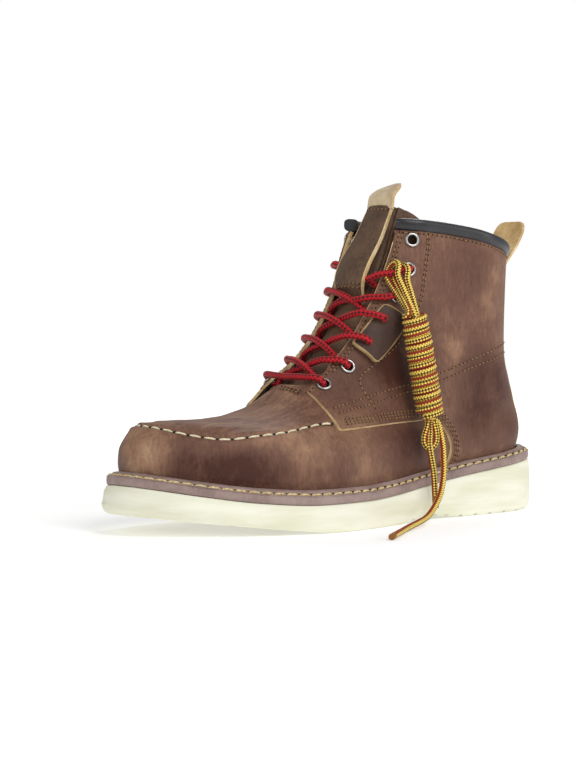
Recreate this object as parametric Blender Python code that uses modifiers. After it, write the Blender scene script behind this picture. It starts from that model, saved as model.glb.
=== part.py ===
"""Left moc toe work boot with a cream wedge sole, standing empty on the floor.

Lengths in the tables are millimetres, meshes are metres. +X points to the toe, +Y to the outer
(lateral) side and +Z up. The origin is on the floor, under the middle of the outsole.
"""

import bmesh
import bpy
import numpy as np
from mathutils import Matrix, Vector

MM = 0.001

# Driving dimensions
GAP = 0.3
WALL = 2.2
MIDSOLE = 4.6
WELT = 3.4
INSOLE = 3.5
INSOLE_PLAY = 4.2
SEAM_INSET = 7.0
THROAT_FOOT = 17.0
FACING_EDGE = 19.5
TONGUE_THICK = 4.0
ROLL_HIGH = 8.0
ROLL_WIDE = 7.0
LACE = 3.8
EYELET_OUTER = 4.2
EYELET_BORE = 2.6
EYELET_BARREL = 2.95
EYELET_SEAT = 0.6
EYELET_RIM = 0.9
EYELET_LONG = 3.4
GROOVE_WIDE = 2.6
GROOVE_DEEP = 1.3
SPARE_LACE = 3.6
HANK_RADIUS = 8.4

# Outer edge of the outsole in plan: point, x, y
OUTLINE = (
    ("heel back", -152.5, 0.0),
    ("heel corner, lateral", -141.5, 25.0),
    ("heel, lateral", -112.0, 36.0),
    ("waist, lateral", -45.0, 42.0),
    ("ball, lateral", 38.0, 60.0),
    ("little toe", 104.0, 46.0),
    ("toe corner, lateral", 141.0, 22.0),
    ("toe tip", 152.5, -9.0),
    ("toe corner, medial", 142.0, -37.0),
    ("big toe", 112.0, -51.0),
    ("ball, medial", 58.0, -55.0),
    ("waist, medial", -38.0, -39.0),
    ("heel, medial", -112.0, -36.0),
    ("heel corner, medial", -141.5, -25.0),
)
# Wedge from heel to toe: x, underside, top
WEDGE = (
    (-152.5, 2.2, 31.8),
    (-140.0, 0.0, 31.2),
    (-110.0, 0.0, 28.2),
    (-78.0, 0.0, 25.0),
    (-42.0, 2.4, 21.0),
    (-8.0, 0.0, 17.6),
    (20.0, 0.0, 16.2),
    (55.0, 0.0, 16.0),
    (90.0, 2.2, 18.2),
    (120.0, 6.0, 22.6),
    (152.5, 12.0, 29.0),
)
# Edge of the sole outside the foot of the upper: x, ledge
LEDGE = (
    (-152.5, 11.5),
    (-130.0, 7.2),
    (-105.0, 5.6),
    (-45.0, 6.0),
    (38.0, 7.5),
    (90.0, 8.5),
    (120.0, 11.5),
    (152.5, 13.5),
)
# Wall of the upper over its foot: height, swell at the sides, swell at the toe
SWELL = (
    (-10.0, 0.0, 0.0),
    (0.0, 0.0, 0.0),
    (5.0, 1.4, 0.6),
    (12.0, 2.2, 0.4),
    (20.0, 1.2, -1.6),
    (28.0, -1.4, -5.0),
    (36.0, -5.0, -9.0),
    (60.0, -22.0, -26.0),
)
# Top of the foot: x, ridge height, drop 40 mm to the side, blend into the wall, ridge y
INSTEP = (
    (-152.0, 112.0, 30.0, 30.0, 0.0),
    (-60.0, 112.0, 30.0, 30.0, 1.5),
    (0.0, 100.0, 26.0, 24.0, 2.5),
    (20.0, 90.0, 22.0, 20.0, 3.0),
    (45.0, 74.0, 12.0, 13.0, 2.5),
    (62.0, 67.5, 8.0, 9.0, 1.0),
    (75.0, 65.0, 6.5, 7.0, 0.0),
    (100.0, 62.5, 5.0, 6.0, -3.0),
    (130.0, 61.0, 4.0, 6.0, -6.0),
    (152.0, 59.5, 3.0, 6.0, -9.0),
)
# Shaft over the heel and instep: height, back x, front x, back half width, front half width
SHAFT = (
    (20.0, -120.0, 58.0, 20.0, 20.0),
    (38.0, -122.0, 56.0, 22.0, 22.0),
    (50.0, -126.0, 54.0, 25.0, 24.0),
    (62.0, -129.0, 50.0, 30.0, 25.0),
    (74.0, -130.5, 42.0, 32.3, 26.0),
    (86.0, -130.0, 30.0, 33.0, 26.0),
    (98.0, -128.5, 18.5, 32.8, 26.5),
    (110.0, -128.2, 8.0, 33.0, 27.0),
    (137.0, -128.5, -11.0, 35.0, 28.0),
    (157.0, -129.0, -21.0, 37.0, 29.0),
    (180.0, -130.5, -30.0, 39.0, 30.0),
    (215.0, -132.0, -43.0, 40.0, 30.0),
)
# Blend of shaft and foot: height, width
BLEND = ((42.0, 4.0), (85.0, 16.0))
# Top edge of the leather under the collar roll: x, height
COLLAR = ((-132.0, 151.5), (-120.0, 153.5), (-100.0, 159.0), (-78.0, 165.0), (-51.0, 170.0), (-30.0, 171.5))
# Eyelets on each facing: distance up the throat, distance from its middle
EYELETS = (
    (26.0, 27.0),
    (45.0, 29.0),
    (63.0, 31.0),
    (80.0, 32.5),
    (97.0, 33.5),
    (114.0, 34.0),
    (130.0, 31.0),
)


# Keeper strap over the tongue: distance up the throat, outer face from the form
STRAP = (
    (95.0, -3.2),
    (97.5, -1.5),
    (100.0, 2.2),
    (104.0, 4.8),
    (108.0, 5.8),
    (112.0, 5.6),
    (118.0, 3.2),
    (130.0, -0.8),
    (147.0, -2.6),
)
STRAP_HALF = 11.5
STRAP_THICK = 2.0
# Pull on top of the strap: back, to the side and up from its foot, half width
TONGUE_PULL = (
    (0.0, 0.0, 0.4, 11.0),
    (1.5, 0.6, 5.0, 10.6),
    (5.5, 1.6, 9.5, 9.2),
    (10.0, 2.8, 12.2, 6.6),
    (14.5, 4.0, 14.0, 3.0),
)
# Pull at the back of the collar: x of its inner face, z, half width
HEEL_PULL = (
    (-129.0, 138.0, 12.5),
    (-129.2, 145.0, 12.5),
    (-130.4, 150.0, 12.3),
    (-134.2, 157.5, 12.0),
    (-139.6, 165.5, 11.6),
    (-145.4, 173.5, 10.8),
    (-148.4, 177.6, 9.0),
    (-149.4, 179.2, 6.0),
)
# Leather patch laced on the outer facing: distance up the throat, front edge, back edge
PATCH = ((58.5, 23.0, 40.5), (66.0, 23.6, 42.0), (73.0, 24.4, 43.2), (80.0, 25.6, 44.0), (87.5, 27.0, 43.0))
PATCH_THICK = 1.8
# Spare lace wound in a hank: ends of its axis
HANK_TOP, HANK_FOOT = (-25.5, 41.2, 124.6), (-38.2, 43.0, 59.8)
# Its loop over the lace at the sixth eyelet: distance up the throat, across it, out from the form,
# then how far its ends stand from the middle of the hank and above it
LOOP = (
    (98.5, 30.0, 10.6),
    (105.5, 24.6, 8.0),
    (111.0, 20.6, 7.2),
    (114.6, 18.4, 5.2),
    (115.6, 16.2, 1.4),
    (113.4, 15.0, -2.3),
    (109.0, 14.8, -3.9),
    (104.8, 15.6, -1.2),
    (101.8, 18.0, 3.6),
    (97.8, 23.2, 8.4),
    (93.5, 27.0, 10.2),
)
LOOP_END = (2.2, 1.8)
# Its two ends below the hank, the longer one lying on the floor: x, y, z
TAIL_LONG = (
    (-41.0, 45.0, 59.4),
    (-41.8, 46.6, 54.5),
    (-42.3, 48.8, 45.0),
    (-41.5, 50.2, 36.0),
    (-40.5, 51.2, 28.5),
    (-36.5, 52.8, 17.5),
    (-28.0, 56.0, 9.6),
    (-16.5, 61.0, 4.6),
    (8.7, 73.6, 2.0),
    (30.0, 89.5, 2.0),
    (48.5, 103.4, 2.0),
)
TAIL_SHORT = (
    (-36.6, 44.0, 58.4),
    (-36.0, 44.6, 53.0),
    (-34.6, 45.4, 45.1),
    (-36.6, 47.0, 29.3),
    (-37.2, 47.4, 15.4),
    (-37.6, 47.6, 8.5),
)


def column(table, index, x):
    """Read one column of a table at x, with no overshoot between rows."""
    rows = np.array(table, float)
    xs, ys = rows[:, 0], rows[:, index]
    step = np.diff(xs)
    slope = np.diff(ys) / step
    lean = np.concatenate([slope[:1], np.zeros(len(xs) - 2), slope[-1:]])
    same = slope[:-1] * slope[1:] > 0
    lean[1:-1][same] = 2 / (1 / slope[:-1][same] + 1 / slope[1:][same])
    x = np.clip(x, xs[0], xs[-1])
    i = np.clip(np.searchsorted(xs, x, side="right") - 1, 0, len(xs) - 2)
    w = (x - xs[i]) / step[i]
    return (
        (1 + 2 * w) * (1 - w) ** 2 * ys[i]
        + w * (1 - w) ** 2 * step[i] * lean[i]
        + w * w * (3 - 2 * w) * ys[i + 1]
        + w * w * (w - 1) * step[i] * lean[i + 1]
    )


def closed_spline(points, count):
    """Smooth closed curve through the points of an outline."""
    p = np.array(points, float)
    n = len(p)
    ahead, behind = np.roll(p, -1, 0), np.roll(p, 1, 0)
    step = np.sqrt(np.linalg.norm(ahead - p, axis=1))
    back = np.roll(step, 1)
    system = np.diag(2 * (step + back))
    for i in range(n):
        system[i, i - 1] += step[i]
        system[i, (i + 1) % n] += back[i]
    pull = 3 * (step[:, None] * (p - behind) / back[:, None] + back[:, None] * (ahead - p) / step[:, None])
    tangent = np.linalg.solve(system, pull)
    start = np.concatenate([[0], np.cumsum(step)])
    s = np.linspace(0, start[-1], count, endpoint=False)
    i = np.clip(np.searchsorted(start, s, side="right") - 1, 0, n - 1)
    j = (i + 1) % n
    w = ((s - start[i]) / step[i])[:, None]
    h = step[i][:, None]
    return (
        (1 + 2 * w) * (1 - w) ** 2 * p[i]
        + w * (1 - w) ** 2 * h * tangent[i]
        + w * w * (3 - 2 * w) * p[j]
        + w * w * (w - 1) * h * tangent[j]
    )


def outward(curve):
    """Unit normals of a closed plan curve, pointing out."""
    run = np.roll(curve, -1, 0) - np.roll(curve, 1, 0)
    normal = np.column_stack([run[:, 1], -run[:, 0]]) / np.linalg.norm(run, axis=1)[:, None]
    return normal if ((curve - curve.mean(0)) * normal).sum() > 0 else -normal


def inset(curve, amount):
    return curve - outward(curve) * np.reshape(amount, (-1, 1))


def make_outline():
    curve = closed_spline([row[1:] for row in OUTLINE], 480)
    return curve - (curve.max(0) + curve.min(0)) / 2


SOLE_EDGE = make_outline()
FEATHER = inset(SOLE_EDGE, column(LEDGE, 1, SOLE_EDGE[:, 0]))
FEATHER_OUT = outward(FEATHER)


def feather_height(x):
    return column(WEDGE, 2, x) + MIDSOLE + WELT


def plan_distance(x, y):
    """Distance outside the feather line, seen from above."""
    apart = np.stack([x, y], -1)[:, None, :] - FEATHER[None]
    near = (apart**2).sum(2).argmin(1)
    return (apart[np.arange(len(near)), near] * FEATHER_OUT[near]).sum(1)


def smooth_max(a, b, blend):
    h = np.clip(0.5 + 0.5 * (a - b) / blend, 0, 1)
    return b + (a - b) * h + blend * h * (1 - h)


def foot_form(p):
    """Foot of the upper: the swelling wall under the domed top."""
    x, y, z = p.T
    height = z - feather_height(x)
    toe = np.clip((x - 85) / 45, 0, 1)
    toe = toe * toe * (3 - 2 * toe)
    swell = column(SWELL, 1, height) * (1 - toe) + column(SWELL, 2, height) * toe
    wall = plan_distance(x, y) - swell
    roof = z - column(INSTEP, 1, x) + column(INSTEP, 2, x) * ((y - column(INSTEP, 4, x)) / 40) ** 2
    return smooth_max(wall, roof, column(INSTEP, 3, x))


def shaft_form(p):
    """Shaft: at each height the hull of a back circle and a front circle."""
    x, y, z = p.T
    back, front, wide, narrow = (column(SHAFT, i, z) for i in (1, 2, 3, 4))
    long = front - narrow - back - wide
    px, py = x - back - wide, np.abs(y)
    lean = (wide - narrow) / long
    side = np.sqrt(1 - lean * lean)
    along = side * px - lean * py
    flank = lean * px + side * py - wide
    front_end = np.hypot(px - long, py) - narrow
    return np.where(along < 0, np.hypot(px, py) - wide, np.where(along > side * long, front_end, flank))


def form(p):
    """Outside of the upper: below 0 inside it, about millimetres."""
    return -smooth_max(-foot_form(p), -shaft_form(p), column(BLEND, 1, p[:, 2]))


def slope(p):
    steps = np.eye(3) * 0.5
    return np.column_stack([form(p + s) - form(p - s) for s in steps])


def settle(points, depth=0.0, along=(1, 1, 1), rounds=6):
    """Move points onto the form, or to a depth from it, only along the named axes."""
    p = np.array(points, float)
    for _ in range(rounds):
        g = slope(p) * along
        off = np.clip(form(p) - depth, -6, 6)
        p -= (off / np.maximum((g * g).sum(1), 0.15))[:, None] * g
    return p


def normals_at(p):
    g = slope(p)
    return g / np.linalg.norm(g, axis=1)[:, None]


THROAT_REACH = 58


def make_throat():
    """Patch over the instep: arc lengths up its ridge, and points at whole mm round it."""
    z = np.linspace(64, 208, 74)
    ridge = np.column_stack([column(SHAFT, 2, z) + 6, 0 * z, z])
    ridge = settle(ridge, along=(1, 0, 0), rounds=14)
    run = np.gradient(ridge, axis=0)
    up = np.concatenate([[0], np.cumsum(np.linalg.norm(np.diff(ridge, axis=0), axis=1))])
    up -= np.interp(71.0, z, up)
    sides = []
    for sign in (-1, 1):
        p, strip = ridge, []
        for _ in range(THROAT_REACH):
            across = np.cross(normals_at(p), run)
            across *= sign * np.sign(across[:, 1:2]) / np.linalg.norm(across, axis=1)[:, None]
            p = settle(p + across, rounds=2)
            strip.append(p)
        sides.append(strip)
    return up, np.stack(sides[0][::-1] + [ridge] + sides[1], 1)


THROAT_UP, THROAT = make_throat()


def on_throat(up, across, out=0.0):
    """Points at distances up and across the instep, standing out from the form."""
    up, across, out = np.broadcast_arrays(np.atleast_1d(np.asarray(up, float)), across, out)
    row = np.interp(up, THROAT_UP, np.arange(len(THROAT_UP)))
    col = np.clip(across + THROAT_REACH, 0, 2 * THROAT_REACH)
    i, j = np.minimum(row.astype(int), len(THROAT_UP) - 2), np.minimum(col.astype(int), 2 * THROAT_REACH - 1)
    u, w = (row - i)[:, None], (col - j)[:, None]
    p = (THROAT[i, j] * (1 - u) + THROAT[i + 1, j] * u) * (1 - w)
    p = settle(p + (THROAT[i, j + 1] * (1 - u) + THROAT[i + 1, j + 1] * u) * w, rounds=2)
    return p + normals_at(p) * out[:, None]


def pick(path, share):
    """Points at shares of the length of an open path."""
    path = np.asarray(path, float)
    run = np.concatenate([[0], np.cumsum(np.linalg.norm(np.diff(path, axis=0), axis=1))])
    at = np.asarray(share) * run[-1]
    return np.column_stack([np.interp(at, run, path[:, a]) for a in range(path.shape[1])])


def fresh(name):
    collection = bpy.data.collections.new(name)
    bpy.context.scene.collection.children.link(collection)
    return collection


def paint(name, hex_colour, roughness, metallic=0.0):
    material = bpy.data.materials.new(name)
    material.use_nodes = True
    shader = material.node_tree.nodes["Principled BSDF"]
    rgb = [int(hex_colour[i : i + 2], 16) / 255 for i in (0, 2, 4)]
    linear = [c / 12.92 if c <= 0.04045 else ((c + 0.055) / 1.055) ** 2.4 for c in rgb]
    shader.inputs["Base Color"].default_value = (*linear, 1)
    shader.inputs["Roughness"].default_value = roughness
    shader.inputs["Metallic"].default_value = metallic
    return material


def add(name, points, faces, material, collection):
    """Object from points in millimetres."""
    mesh = bpy.data.meshes.new(name)
    mesh.from_pydata((np.asarray(points) * MM).tolist(), [], faces)
    mesh.materials.append(material)
    thing = bpy.data.objects.new(name, mesh)
    collection.objects.link(thing)
    return thing


def face_out(thing):
    shape = bmesh.new()
    shape.from_mesh(thing.data)
    bmesh.ops.recalc_face_normals(shape, faces=shape.faces)
    shape.to_mesh(thing.data)
    shape.free()
    thing.data.shade_smooth()
    thing.data.set_sharp_from_angle(angle=0.7)
    return thing


def loft(name, rings, material, collection, closed=False, strip_caps=False):
    """Solid through closed rings of equal count, capped at both ends or joined end to end."""
    count, size = len(rings), len(rings[0])
    faces = []
    for r in range(count if closed else count - 1):
        a, b = r * size, (r + 1) % count * size
        faces += [(a + k, a + (k + 1) % size, b + (k + 1) % size, b + k) for k in range(size)]
    for r in () if closed else (0, count - 1):
        a = r * size
        if not strip_caps:
            faces.append([a + k for k in range(size)])
            continue
        half = size // 2
        for k in range(half):
            quad = [a + k, a + k + 1, a + (size - k - 1) % size, a + (size - k) % size]
            faces.append(list(dict.fromkeys(quad)))
    return face_out(add(name, np.concatenate(rings), faces, material, collection))


def sheet(name, grid, thick, material, collection, wrap=False):
    """Open surface from rows of points, facing away from the foot, given a thickness inwards."""
    rows, cols = grid.shape[:2]
    faces = []
    for r in range(rows - 1):
        for c in range(cols if wrap else cols - 1):
            d = (c + 1) % cols
            faces.append((r * cols + c, r * cols + d, (r + 1) * cols + d, (r + 1) * cols + c))
    thing = add(name, grid.reshape(-1, 3), faces, material, collection)
    middle = thing.data.polygons[len(faces) // 2]
    if Vector(normals_at(np.array([middle.center]) / MM)[0]).dot(middle.normal) < 0:
        thing.data.flip_normals()
    thing.data.shade_smooth()
    solid = thing.modifiers.new("thickness", "SOLIDIFY")
    solid.thickness = thick * MM
    solid.offset = -1
    solid.use_even_offset = True
    solid.use_quality_normals = True
    return thing


def plan_ring(curve, half):
    """Closed plan curve read at matching x on both sides: toe, lateral, heel, medial."""
    tip, heel = curve[:, 0].argmax(), curve[:, 0].argmin()
    turned = np.roll(curve, -tip, 0)
    cut = (heel - tip) % len(curve)
    chains = [turned[: cut + 1], np.vstack([turned[:1], turned[:cut - 1 : -1]])]
    chains.sort(key=lambda c: -c[:, 1].mean())
    x0, x1 = curve[:, 0].min(), curve[:, 0].max()
    x = (x0 + x1) / 2 + (x1 - x0) / 2 * np.cos(np.pi * np.arange(half + 1) / half)
    lateral, medial = (np.interp(x, c[::-1, 0], c[::-1, 1]) for c in chains)
    return np.vstack([np.column_stack([x, lateral]), np.column_stack([x, medial])[half - 1 : 0 : -1]])


def ring_at(curve, height, half=34):
    xy = plan_ring(curve, half)
    return np.column_stack([xy, height(xy[:, 0])])


def wedge_top(x):
    return column(WEDGE, 2, x)


def make_outsole(material, parts, cutters):
    """Wedge with a soft edge, cut by grooves across the tread."""
    under = lambda x: column(WEDGE, 1, x)
    levels = (
        ring_at(inset(SOLE_EDGE, 4.0), under),
        ring_at(inset(SOLE_EDGE, 1.5), lambda x: under(x) + 1.6),
        ring_at(inset(SOLE_EDGE, 0.2), lambda x: under(x) + 5),
        ring_at(SOLE_EDGE, lambda x: under(x) * 0.4 + wedge_top(x) * 0.6),
        ring_at(inset(SOLE_EDGE, 0.6), lambda x: wedge_top(x) - 0.8),
        ring_at(inset(SOLE_EDGE, 1.4), wedge_top),
    )
    sole = loft("outsole", levels, material, parts, strip_caps=True)
    heel = [(x, 90.0) for x in np.arange(-136.0, -70.0, 13.0)]
    waist = [(x, 100.0) for x in (-58.0, -47.0, -36.0, -25.0)]
    fore = [(x, 76.0) for x in np.arange(2.0, 110.0, 13.0)]
    groove = bmesh.new()
    for x, wide in heel + waist + fore:
        base = float(under(np.array([x]))[0])
        place = Matrix.Translation((x * MM, 0, (base - 3 + GROOVE_DEEP) * MM))
        size = Matrix.Diagonal((GROOVE_WIDE * MM, wide * MM, 6 * MM, 1))
        bmesh.ops.create_cube(groove, size=1, matrix=place @ size)
    mesh = bpy.data.meshes.new("tread_grooves")
    groove.to_mesh(mesh)
    groove.free()
    cutter = bpy.data.objects.new("tread_grooves", mesh)
    cutters.objects.link(cutter)
    cut = sole.modifiers.new("tread", "BOOLEAN")
    cut.operation, cut.object = "DIFFERENCE", cutter
    return sole


def make_plates(paints, parts):
    """Midsole, welt and insole, each following the top of the wedge."""
    over = lambda base: lambda x: wedge_top(x) + base
    edge = inset(SOLE_EDGE, 0.9)
    rings = [ring_at(edge, over(GAP)), ring_at(edge, over(MIDSOLE))]
    loft("midsole", rings, paints["midsole"], parts, strip_caps=True)
    low, high = MIDSOLE + GAP, MIDSOLE + WELT
    inner, outer = inset(FEATHER, -3 * GAP), inset(SOLE_EDGE, 0.5)
    rings = [ring_at(c, over(h)) for c, h in ((outer, low), (outer, high), (inner, high), (inner, low))]
    loft("welt", rings, paints["welt"], parts, closed=True)
    rings = []
    for height in (over(low), over(low + INSOLE)):
        bed = np.column_stack([inset(FEATHER, WALL + INSOLE_PLAY), height(FEATHER[:, 0])])
        tight = settle(bed, depth=-(WALL + INSOLE_PLAY), along=(1, 1, 0), rounds=10)
        bed = np.where(form(bed)[:, None] > -(WALL + INSOLE_PLAY), tight, bed)
        rings.append(ring_at(bed[:, :2], height))
    loft("insole", rings, paints["insole"], parts, strip_caps=True)


def collar_path(side, count):
    """Top edge of the leather from the facing corner to the middle of the back."""
    angle = np.radians(np.linspace(22, 180, count))
    p = np.column_stack([-85 + 55 * np.cos(angle), side * 42 * np.sin(angle), 165 + 0 * angle])
    for _ in range(3):
        p[:, 2] = column(COLLAR, 1, p[:, 0])
        p = settle(p, along=(1, 1, 0))
    p[-1, 1] = 0
    return p


def topline(side):
    """Open edge of the upper from the foot of the throat, up one facing and round the collar."""
    bend = np.radians(np.linspace(0, 90, 5))
    r = FACING_EDGE * 0.75
    foot = [(THROAT_FOOT, s) for s in (0.0, 2.5)]
    foot += [(THROAT_FOOT + r * (1 - np.cos(b)), FACING_EDGE - r + r * np.sin(b)) for b in bend]
    top = 130.0
    rise = [(u, FACING_EDGE) for u in np.linspace(THROAT_FOOT + r + 6, top, 16)]
    up, across = np.array(foot + rise).T
    return np.vstack([on_throat(up, side * across), collar_path(side, 36)])


# Shares of the ribs of one side that end at the throat's foot, the facing and the collar
RIB_SHARE = (0, 0.22, 0.63, 1)


def upper_grid(half=30, wall_rows=5, top_rows=8):
    """Rows of points from the feather line over the toe seam to the topline."""
    ring = plan_ring(FEATHER, 200)
    grid = []
    for side in (1, -1):
        base = ring[:201] if side > 0 else np.vstack([ring[:1], ring[:199:-1]])
        run = np.concatenate([[0], np.cumsum(np.linalg.norm(np.diff(base, axis=0), axis=1))])
        edge = topline(side)
        rib = np.linspace(0, 1, half + 1)
        top = pick(edge, np.interp(rib, RIB_SHARE, (0, 0.07, 0.5, 1)))
        part = np.interp(rib, RIB_SHARE, (0, 0.2, 0.62, 1)) * run[-1]
        foot = np.column_stack([np.interp(part, run, base[:, a]) for a in (0, 1)])
        low = np.column_stack([foot, feather_height(foot[:, 0]) - WELT + 4 * GAP])
        inner = np.column_stack([np.interp(part, run, inset_side(base, side)[:, a]) for a in (0, 1)])
        seam = np.column_stack([inner, 70 + 0 * part])
        seam = settle(seam, along=(0, 0, 1), rounds=12)
        flank = np.clip((45 - foot[:, 0]) / 40, 0, 1)[:, None]
        mid_z = np.interp(foot[:, 0], (-150, -60, 0, 60), (84, 76, 68, 60))
        plain = np.column_stack([foot, mid_z])
        seam = seam * (1 - flank) + plain * flank
        t = np.linspace(0, 1, wall_rows + 1)[:-1, None, None]
        w = np.linspace(0, 1, top_rows + 1)[:, None, None]
        rows = np.concatenate([low * (1 - t) + seam * t, seam * (1 - w) + top * w])
        grid.append(rows if side > 0 else rows[:, -2:0:-1])
    grid = np.concatenate(grid, 1)
    return relax(grid, wall_rows)


def inset_side(base, side):
    run = np.gradient(base, axis=0)
    normal = np.column_stack([-run[:, 1], run[:, 0]]) / np.linalg.norm(run, axis=1)[:, None]
    return base + side * normal * SEAM_INSET


def relax(grid, seam_row, rounds=24):
    """Even out the inner rows on the form, keeping both edges and the toe seam."""
    shape = grid[1:-1].shape
    held = np.zeros(grid.shape[:2], bool)
    held[seam_row] = grid[seam_row, :, 0] > 45
    for turn in range(rounds):
        beside = (np.roll(grid, 1, 1) + np.roll(grid, -1, 1))[1:-1] * 0.04
        moved = grid[1:-1] * 0.5 + beside + (grid[2:] + grid[:-2]) * 0.21
        moved = settle(moved.reshape(-1, 3), rounds=6 if turn < 2 else 2)
        grid[1:-1] = np.where(held[1:-1, :, None], grid[1:-1], moved.reshape(shape))
    return grid


def frame_at(point, normal):
    """Placement with +Z along a normal."""
    turn = Vector(normal).to_track_quat("Z", "X").to_matrix().to_4x4()
    return Matrix.Translation(Vector(point) * MM) @ turn


def eyelet_places():
    places = {}
    for side, tag in ((1, "lat"), (-1, "med")):
        for number, (up, across) in enumerate(EYELETS, 1):
            point = on_throat(up, side * across)
            places[f"eyelet_{tag}_{number}"] = frame_at(point[0], normals_at(point)[0])
    return places


def make_upper(paints, parts, cutters):
    """Hollow leather wall with a hole at each eyelet."""
    upper = sheet("upper", upper_grid(), WALL, paints["upper"], parts, wrap=True)
    holes = fresh("eyelet_holes")
    for name, place in eyelet_places().items():
        hole = bmesh.new()
        bmesh.ops.create_cone(hole, cap_ends=True, segments=10, radius1=(EYELET_BARREL + 0.45) * MM,
                              radius2=(EYELET_BARREL + 0.45) * MM, depth=14 * MM)
        mesh = bpy.data.meshes.new(name + "_hole")
        hole.to_mesh(mesh)
        hole.free()
        cutter = bpy.data.objects.new(name + "_hole", mesh)
        cutter.matrix_world = place
        holes.objects.link(cutter)
        cutter.hide_render, cutter.display_type = True, "WIRE"
    cut = upper.modifiers.new("eyelets", "BOOLEAN")
    cut.operation, cut.operand_type, cut.collection = "DIFFERENCE", "COLLECTION", holes
    return upper


def make_eyelets(material, parts):
    """Turned rings: a rim on the leather and a barrel through it."""
    top = EYELET_SEAT + EYELET_RIM
    profile = (
        (EYELET_BORE, top - 0.1),
        (EYELET_OUTER - 0.5, top),
        (EYELET_OUTER, EYELET_SEAT + 0.35),
        (EYELET_OUTER - 0.1, EYELET_SEAT),
        (EYELET_BARREL, EYELET_SEAT),
        (EYELET_BARREL, -EYELET_LONG),
        (EYELET_BORE, -EYELET_LONG),
    )
    mesh = bpy.data.meshes.new("eyelet")
    count = len(profile)
    edges = [(i, (i + 1) % count) for i in range(count)]
    mesh.from_pydata([(r * MM, 0, z * MM) for r, z in profile], edges, [])
    mesh.materials.append(material)
    for name, place in eyelet_places().items():
        ring = bpy.data.objects.new(name, mesh)
        ring.matrix_world = place
        parts.objects.link(ring)
        turn = ring.modifiers.new("turn", "SCREW")
        turn.steps = turn.render_steps = 8
        turn.use_merge_vertices, turn.merge_threshold = True, 0.00001
        turn.use_normal_calculate = True


def tongue_depth(up, across):
    """Outside of the tongue below the form: under the plug, then low enough for the lace."""
    foot = np.clip((up - THROAT_FOOT + 6) / 13, 0, 1)
    foot = foot * foot * (3 - 2 * foot)
    return -(WALL + 0.8) * (1 - foot) - (7.5 - 1.7 * np.exp(-((across / 16) ** 2))) * foot


def make_tongue(material, parts):
    up, part = np.meshgrid(np.linspace(-8, 148, 21), np.linspace(-1, 1, 11), indexing="ij")
    half = np.interp(up, (-8, 20, 90, 140, 148), (20, 27, 35, 38, 34))
    up = up - np.where(up > 140, (up - 140) * 0.5 * np.abs(part) ** 3, 0)
    across = part * half
    depth = tongue_depth(up, across)
    grid = on_throat(up.ravel(), across.ravel(), depth.ravel()).reshape(*up.shape, 3)
    sheet("tongue", grid, TONGUE_THICK, material, parts)


def make_roll(material, parts):
    """Padded roll along the collar, from one facing corner round the back to the other."""
    lateral, medial = collar_path(1, 20)[1:], collar_path(-1, 20)[1:-1]
    path = np.vstack([lateral, medial[::-1]])
    out = normals_at(path) * (1, 1, 0)
    out /= np.linalg.norm(out, axis=1)[:, None]
    turn = np.linspace(0, 2 * np.pi, 8, endpoint=False)
    rings = []
    ends = np.minimum(np.arange(len(path)), np.arange(len(path))[::-1])
    for p, n, end in zip(path, out, ends):
        full = (0.55, 0.85)[end] if end < 2 else 1.0
        middle = p - n * (WALL / 2 + 0.6) + np.array((0, 0, ROLL_HIGH / 2 + 2 * GAP))
        wide, high = ROLL_WIDE / 2 * full, ROLL_HIGH / 2 * full
        rings.append([middle + n * (np.cos(a) * wide) + (0, 0, np.sin(a) * high) for a in turn])
    loft("collar_roll", rings, material, parts)


def smooth_path(points, count):
    """Evenly spaced points on a smooth curve through a route."""
    p = np.array(points, float)
    lean = np.gradient(p, axis=0)
    t = np.linspace(0, len(p) - 1, 20 * len(p))
    i = np.minimum(t.astype(int), len(p) - 2)
    w = (t - i)[:, None]
    path = (
        (1 + 2 * w) * (1 - w) ** 2 * p[i]
        + w * (1 - w) ** 2 * lean[i]
        + w * w * (3 - 2 * w) * p[i + 1]
        + w * w * (w - 1) * lean[i + 1]
    )
    return pick(path, np.linspace(0, 1, count))


def make_strap(material, suede, parts):
    """Keeper strap stitched to the tongue at both ends, with a pull leaning back from its top."""
    up = np.array([row[0] for row in STRAP])
    part = np.linspace(-1, 1, 5)
    out = np.repeat([r[1] for r in STRAP], 5)
    grid = on_throat(np.repeat(up, 5), np.tile(part * STRAP_HALF, len(up)), out)
    sheet("tongue_strap", grid.reshape(len(up), 5, 3), STRAP_THICK, material, parts)
    foot = on_throat(up[-1] + 0.4, 0.0, STRAP[-1][1])[0]
    rows = []
    for back, aside, rise, half in TONGUE_PULL:
        rows.append([foot + (-back, aside + p * half, rise) for p in part])
    sheet("tongue_pull_tab", np.array(rows), STRAP_THICK, suede, parts)


def make_heel_pull(material, parts):
    """Flap at the middle of the back, flaring out above the collar."""
    part = np.linspace(-1, 1, 5)
    rows = []
    for x, z, half in HEEL_PULL:
        row = np.column_stack([np.full(5, x), part * half, np.full(5, z)])
        curl = settle(row, along=(1, 0, 0))[:, 0] - settle(row[2:3], along=(1, 0, 0))[0, 0]
        row[:, 0] += curl * np.interp(z, (145, 160), (1, 0)) - STRAP_THICK
        rows.append(row)
    sheet("heel_pull_tab", np.array(rows), STRAP_THICK, material, parts)


def make_patch(material, parts):
    out = EYELET_SEAT + EYELET_RIM + 3 * GAP + PATCH_THICK
    rows = [on_throat(up, np.linspace(front, back, 5), out) for up, front, back in PATCH]
    sheet("lace_patch", np.array(rows), PATCH_THICK, material, parts)


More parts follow.
